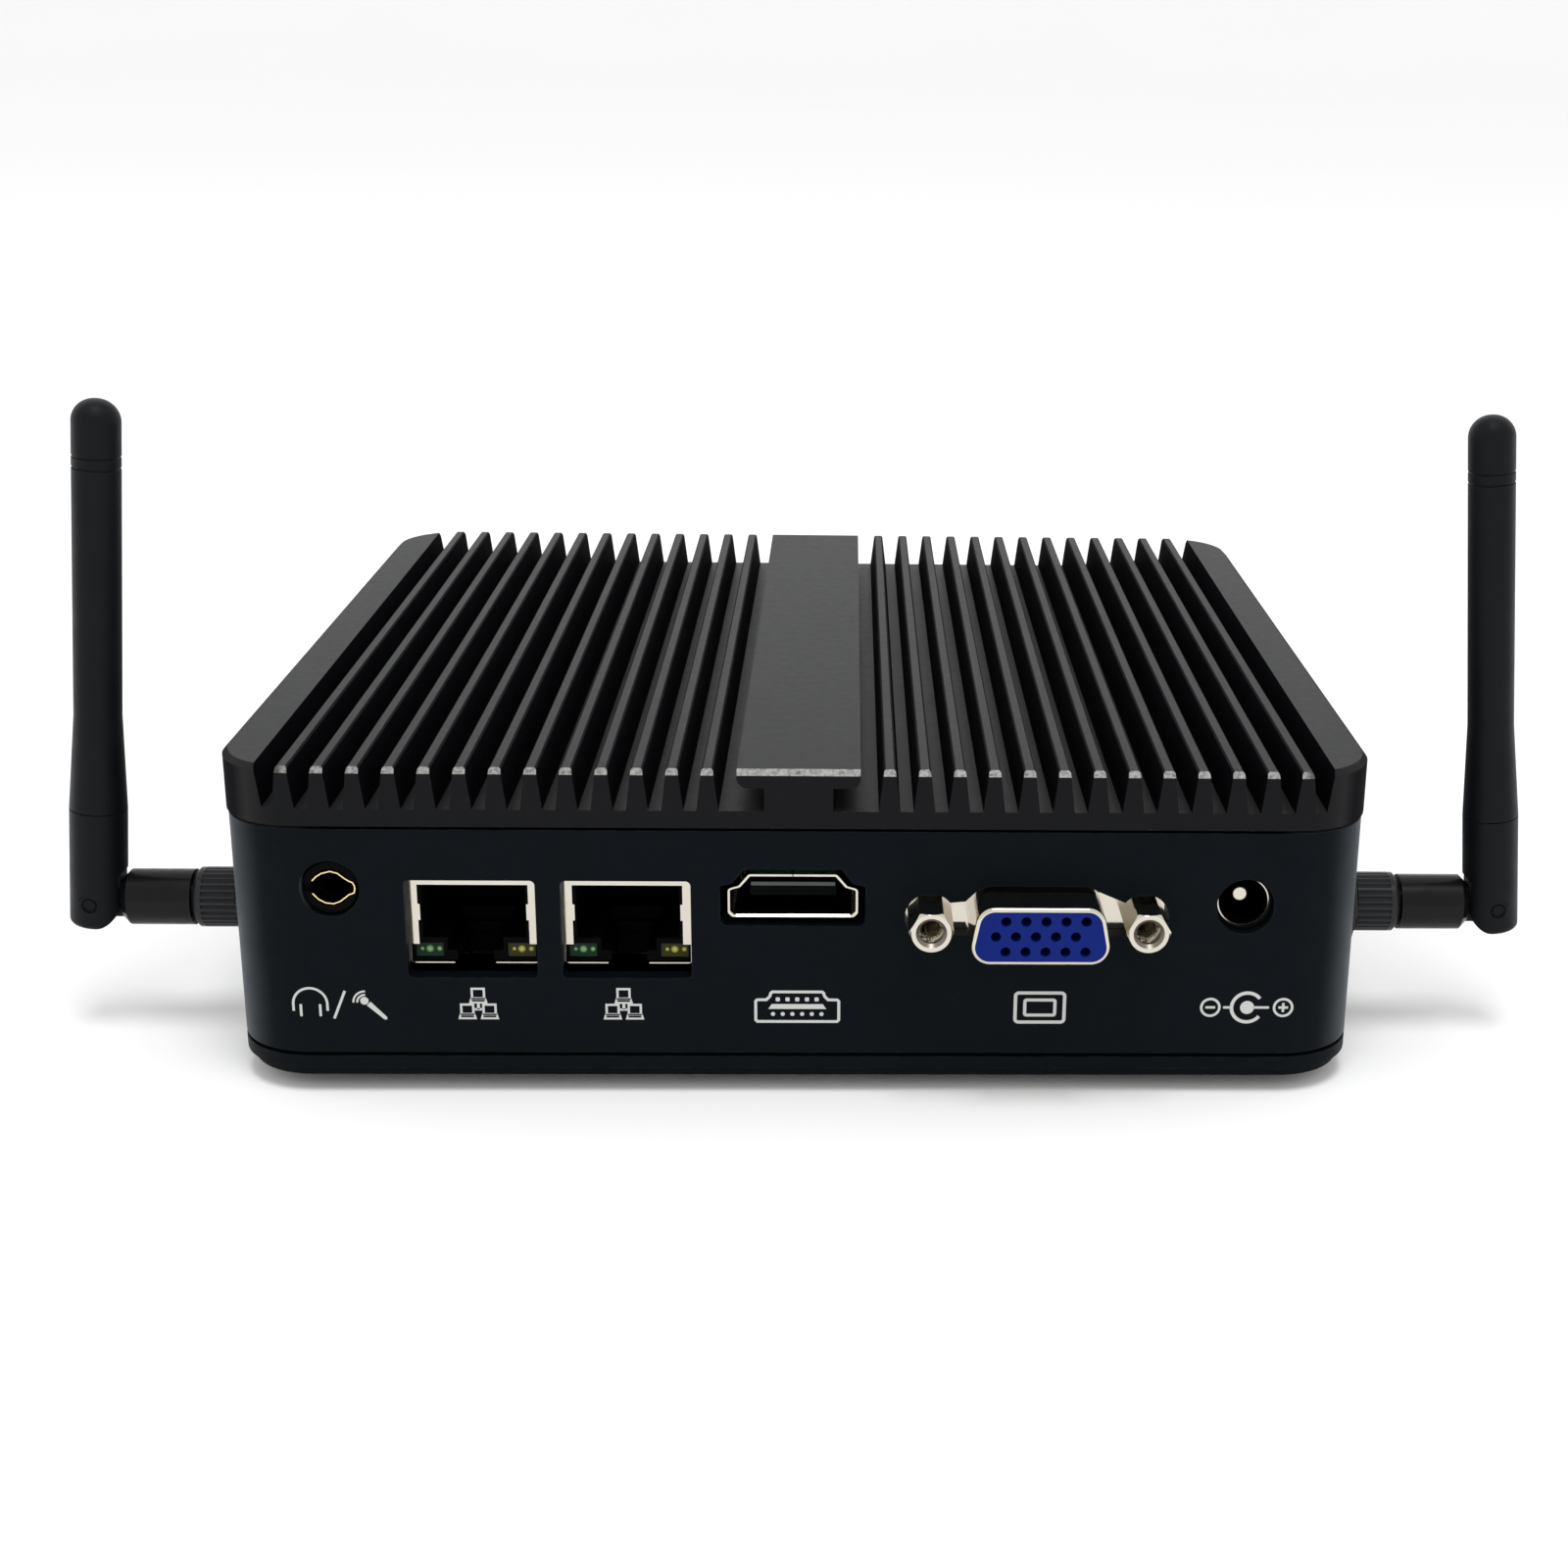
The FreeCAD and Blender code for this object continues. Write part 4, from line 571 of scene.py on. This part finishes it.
def sign_digital_video(mesh, place):
    """The socket's outline with two rows of contacts and the tongue between them."""
    half = [(0, 1.86), (2.92, 1.86), (3.10, 1.70), (3.22, 1.28), (3.62, 0.86), (4.70, 0.84),
            (4.88, 0.66), (4.88, -1.72), (4.68, -1.93)]
    outline = half + [(-u, v) for u, v in reversed(half[1:])]
    ribbon(mesh, outline, 0.34, place, *SIGN_Y, True)
    pitch = 1.14
    for k in range(5):
        u = (k - 2) * pitch
        plate(mesh, box_outline(u - 0.25, u + 0.25, 0.66, 1.16, 0.12), place, *SIGN_Y)
    for k in range(6):
        plate(mesh, disc(0.25, ((k - 2.5) * pitch, -0.97), 16), place, *SIGN_Y)
    plate(mesh, [(-3.4, -0.32), (3.4, -0.32), (3.0, 0.30), (-3.0, 0.30)], place, *SIGN_Y)


def sign_display(mesh, place):
    ribbon(mesh, box_outline(-2.90, 2.90, -1.87, 1.87, 0.40), 0.40, place, *SIGN_Y, True)
    ribbon(mesh, box_outline(-1.78, 1.78, -0.97, 0.97, 0.22), 0.38, place, *SIGN_Y, True)


def sign_power(mesh, place):
    """The polarity sign: minus on the left, plus on the right, the plug's section between them."""
    for u in (-4.38, 4.30):
        ribbon(mesh, arc(1.08, 0, 352.5, 47, (u, 0)), 0.30, place, *SIGN_Y, True)
        plate(mesh, box_outline(u - 0.58, u + 0.58, -0.15, 0.15), place, *SIGN_Y)
    for low in (-0.58, 0.16):
        plate(mesh, box_outline(4.15, 4.45, low, low + 0.42), place, *SIGN_Y)
    ribbon(mesh, arc(1.86, 38, 322, 40), 0.42, place, *SIGN_Y)
    plate(mesh, disc(0.84), place, *SIGN_Y)
    plate(mesh, box_outline(0.78, 2.62, -0.15, 0.15), place, *SIGN_Y)
    plate(mesh, box_outline(-2.86, -2.08, -0.15, 0.15), place, *SIGN_Y)


# Per sign: its name, how it is drawn, the node it stands under and how far from that node's middle
# and from the common height it stands.
SIGNS = (
    ("sign_headphones", sign_headphones, "audio_jack_body", -3.12, 0.05),
    ("sign_slash", sign_slash, "audio_jack_body", 0.27, 0.03),
    ("sign_microphone", sign_microphone, "audio_jack_body", 4.3, 0.10),
    ("sign_left_network", sign_network, "left_lan_shield", 0.4, 0.15),
    ("sign_right_network", sign_network, "right_lan_shield", -0.55, 0.15),
    ("sign_digital_video", sign_digital_video, "hdmi_shell", 0.5, -0.06),
    ("sign_display", sign_display, "vga_shell", 0.66, -0.13),
    ("sign_power", sign_power, "dc_jack_pin", 0.94, -0.06),
)
for name, draw, socket, aside, rise in SIGNS:
    mesh = bmesh.new()
    draw(mesh, (centre(socket).x + aside, SIGN_Z + rise))
    add_piece(name, mesh, "sign_ink")


# ---------------------------------------------------------------- sockets

def helix_ridge(mesh, x, z, y_start, y_end, radius, height, pitch, steps=28):
    """The inside thread of a bore: a three-cornered ridge that winds along Y."""
    sunk = 0.03      # the ridge's foot lies this deep in the bore's wall
    half = 0.42 * pitch
    count = int((y_end - y_start) / pitch * steps)
    rows = []
    for k in range(count + 1):
        a = 2 * pi * k / steps
        y = y_start + pitch * k / steps
        fade = min(1.0, k / steps, (count - k) / steps)
        row = []
        for r, dy in ((radius + sunk, -half), (radius - height * fade, 0.0), (radius + sunk, half)):
            row.append(mesh.verts.new(Vector((x + r * cos(a), y + dy, z + r * sin(a))) * MM))
        rows.append(row)
    skin(mesh, rows, False, True)


mesh = bmesh.new()
for low, high in solid_boxes("vga_jackscrews"):
    post = (low + high) / 2 / MM
    mouth = low.y / MM
    helix_ridge(mesh, post.x, post.z, mouth + 0.65, mouth + 6.4, radius=1.40, height=0.26, pitch=0.72)
add_piece("display_socket_threads", mesh, "nickel")

# The audio socket's ground spring: a bent gold strip, open at one side, with a square kink at the
# other.
SPRING = [(-2.02, 0.80), (-1.55, 1.30), (-0.9, 1.72), (0.1, 1.98), (0.95, 1.74), (1.65, 1.15),
          (2.20, 0.78), (2.58, 0.62), (2.78, 0.25), (2.82, -0.2), (2.70, -0.66), (2.10, -0.88),
          (1.62, -1.28), (1.05, -1.72), (0.3, -2.0), (-0.6, -1.9), (-1.4, -1.45), (-2.04, -0.74)]
contact = centre("audio_jack_contact")
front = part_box("audio_jack_contact")[0].y / MM
mesh = bmesh.new()
ribbon(mesh, SPRING, 0.14, (contact.x, contact.z), front - 0.74, front - 0.6)
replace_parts(add_piece("audio_ground_spring", mesh, "gold"), "audio_jack_contact")

# The light edge of the video socket's contact carrier.
low, high = (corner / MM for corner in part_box("hdmi_tongue"))
edge = box_outline(-4.9, 4.9, -0.22, 0.22, 0.1)
mesh = bmesh.new()
plate(mesh, edge, (centre("hdmi_shell").x, high.z - 1.1), low.y - 0.03, low.y + 0.3)
add_piece("video_carrier_edge", mesh, "carrier_grey")

# The bright rolled edge of the power inlet's sleeve.
low, high = (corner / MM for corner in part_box("dc_jack_contact"))
sleeve = centre("dc_jack_contact")
rolled = arc((high.x - low.x) / 2 - 0.10, 0, 352.5, 47)
mesh = bmesh.new()
ribbon(mesh, rolled, 0.14, (sleeve.x, sleeve.z), low.y - 0.12, low.y + 0.02, True)
add_piece("power_inlet_rim", mesh, "nickel")


# ---------------------------------------------------------------- power button

cap = centre("power_button")
face_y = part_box("power_button")[1].y / MM
mesh = bmesh.new()
ribbon(mesh, arc(1.5, 125, 415, 40), 0.34, (cap.x, cap.z), face_y - 0.03, face_y + 0.02)
plate(mesh, box_outline(-0.17, 0.17, 0.55, 2.1, 0.1), (cap.x, cap.z), face_y - 0.03, face_y + 0.02)
add_piece("sign_power_button", mesh, "sign_ink", "power_button")


# ---------------------------------------------------------------- antenna hinges

CORD_SUNK, CORD_PROUD = -0.05, 0.012     # from the mast's skin to the cord's two sides
HINGE_CORDS = ((0.86, 0, 360, 0.12), (1.36, 22, 60, 0.06))  # radius, first and last angle, half width


def hinge_cord(mesh, side, hinge, mast_radius, ring_radius, start, end, half_width):
    """A thin cord lying on the round mast about its hinge pin, on the socket side and the far
    side."""
    steps = 36
    closed = end - start >= 360
    for face in (-1, 1):
        rows = []
        for k in range(steps if closed else steps + 1):
            a = radians(start + (end - start) * k / steps)
            du, dz = ring_radius * cos(a), ring_radius * sin(a)
            across = du * cos(MAST_LEAN) + dz * sin(MAST_LEAN) + MAST_OFFSET
            depth = sqrt(mast_radius ** 2 - across ** 2)
            out = Vector((cos(a) * side, 0, sin(a)))
            spot = Vector((side * du, face * depth, dz)) + hinge
            row = []
            for reach, rise in ((half_width, CORD_SUNK), (half_width, CORD_PROUD),
                                (-half_width, CORD_PROUD), (-half_width, CORD_SUNK)):
                row.append(mesh.verts.new((spot + out * reach + Vector((0, face * rise, 0))) * MM))
            rows.append(row)
        skin(mesh, rows, closed, not closed)


for name, side in (("left", -1), ("right", 1)):
    low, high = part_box(f"{name}_antenna_knuckle")
    mast_radius = (high.y - low.y) / 2 / MM + 0.005
    mesh = bmesh.new()
    for cord in HINGE_CORDS:
        hinge_cord(mesh, side, centre(f"{name}_hinge_pin"), mast_radius, *cord)
    add_piece(f"{name}_hinge_pin_rim", mesh, "rim_black", f"{name}_mast")


# ---------------------------------------------------------------- floor and light (in metres)

LIGHT_PLACE, LIGHT_TARGET = Vector((0.05, -0.33, 1.05)), Vector((0, 0, 0.03))
LIGHT_SIZE, LIGHT_POWER = 0.42, 4.5


def floor_surface():
    made = Surface("floor_paper")
    clouds = made.noise(400.0, 2.0)
    colour = made.blend(clouds, (0.95, 0.95, 0.95), (0.97, 0.97, 0.97))
    return made.finish(colour, 0.9, 0.0, None, 0.1)


def studio():
    """A sheet of pale paper that curves up behind the object, a white world and one lamp."""
    half, bend, steps, top = 6.0, 1.5, 12, 4.0
    rows = [(-half, 0.0)]
    for k in range(steps + 1):
        a = k / steps * pi / 2
        rows.append((half - bend + bend * sin(a), bend - bend * cos(a)))
    rows.append((half, top))
    points = [(x, y, z) for y, z in rows for x in (-half, half)]
    faces = [(2 * k, 2 * k + 1, 2 * k + 3, 2 * k + 2) for k in range(len(rows) - 1)]
    mesh = bpy.data.meshes.new("floor")
    mesh.from_pydata(points, [], faces)
    for polygon in mesh.polygons:
        polygon.use_smooth = True
    mesh.materials.append(floor_surface())
    floor = bpy.data.objects.new("floor", mesh)
    scene.collection.objects.link(floor)

    world = bpy.data.worlds.new("studio")
    world.use_nodes = True
    world.node_tree.nodes["Background"].inputs["Color"].default_value = (1.0, 1.0, 1.0, 1.0)
    world.node_tree.nodes["Background"].inputs["Strength"].default_value = 1.0
    scene.world = world

    lamp = bpy.data.lights.new("overhead", "AREA")
    lamp.shape = "DISK"
    lamp.size = LIGHT_SIZE
    lamp.energy = LIGHT_POWER
    light = bpy.data.objects.new("overhead", lamp)
    light.location = LIGHT_PLACE
    light.rotation_euler = (LIGHT_TARGET - LIGHT_PLACE).to_track_quat("-Z", "Y").to_euler()
    scene.collection.objects.link(light)


studio()
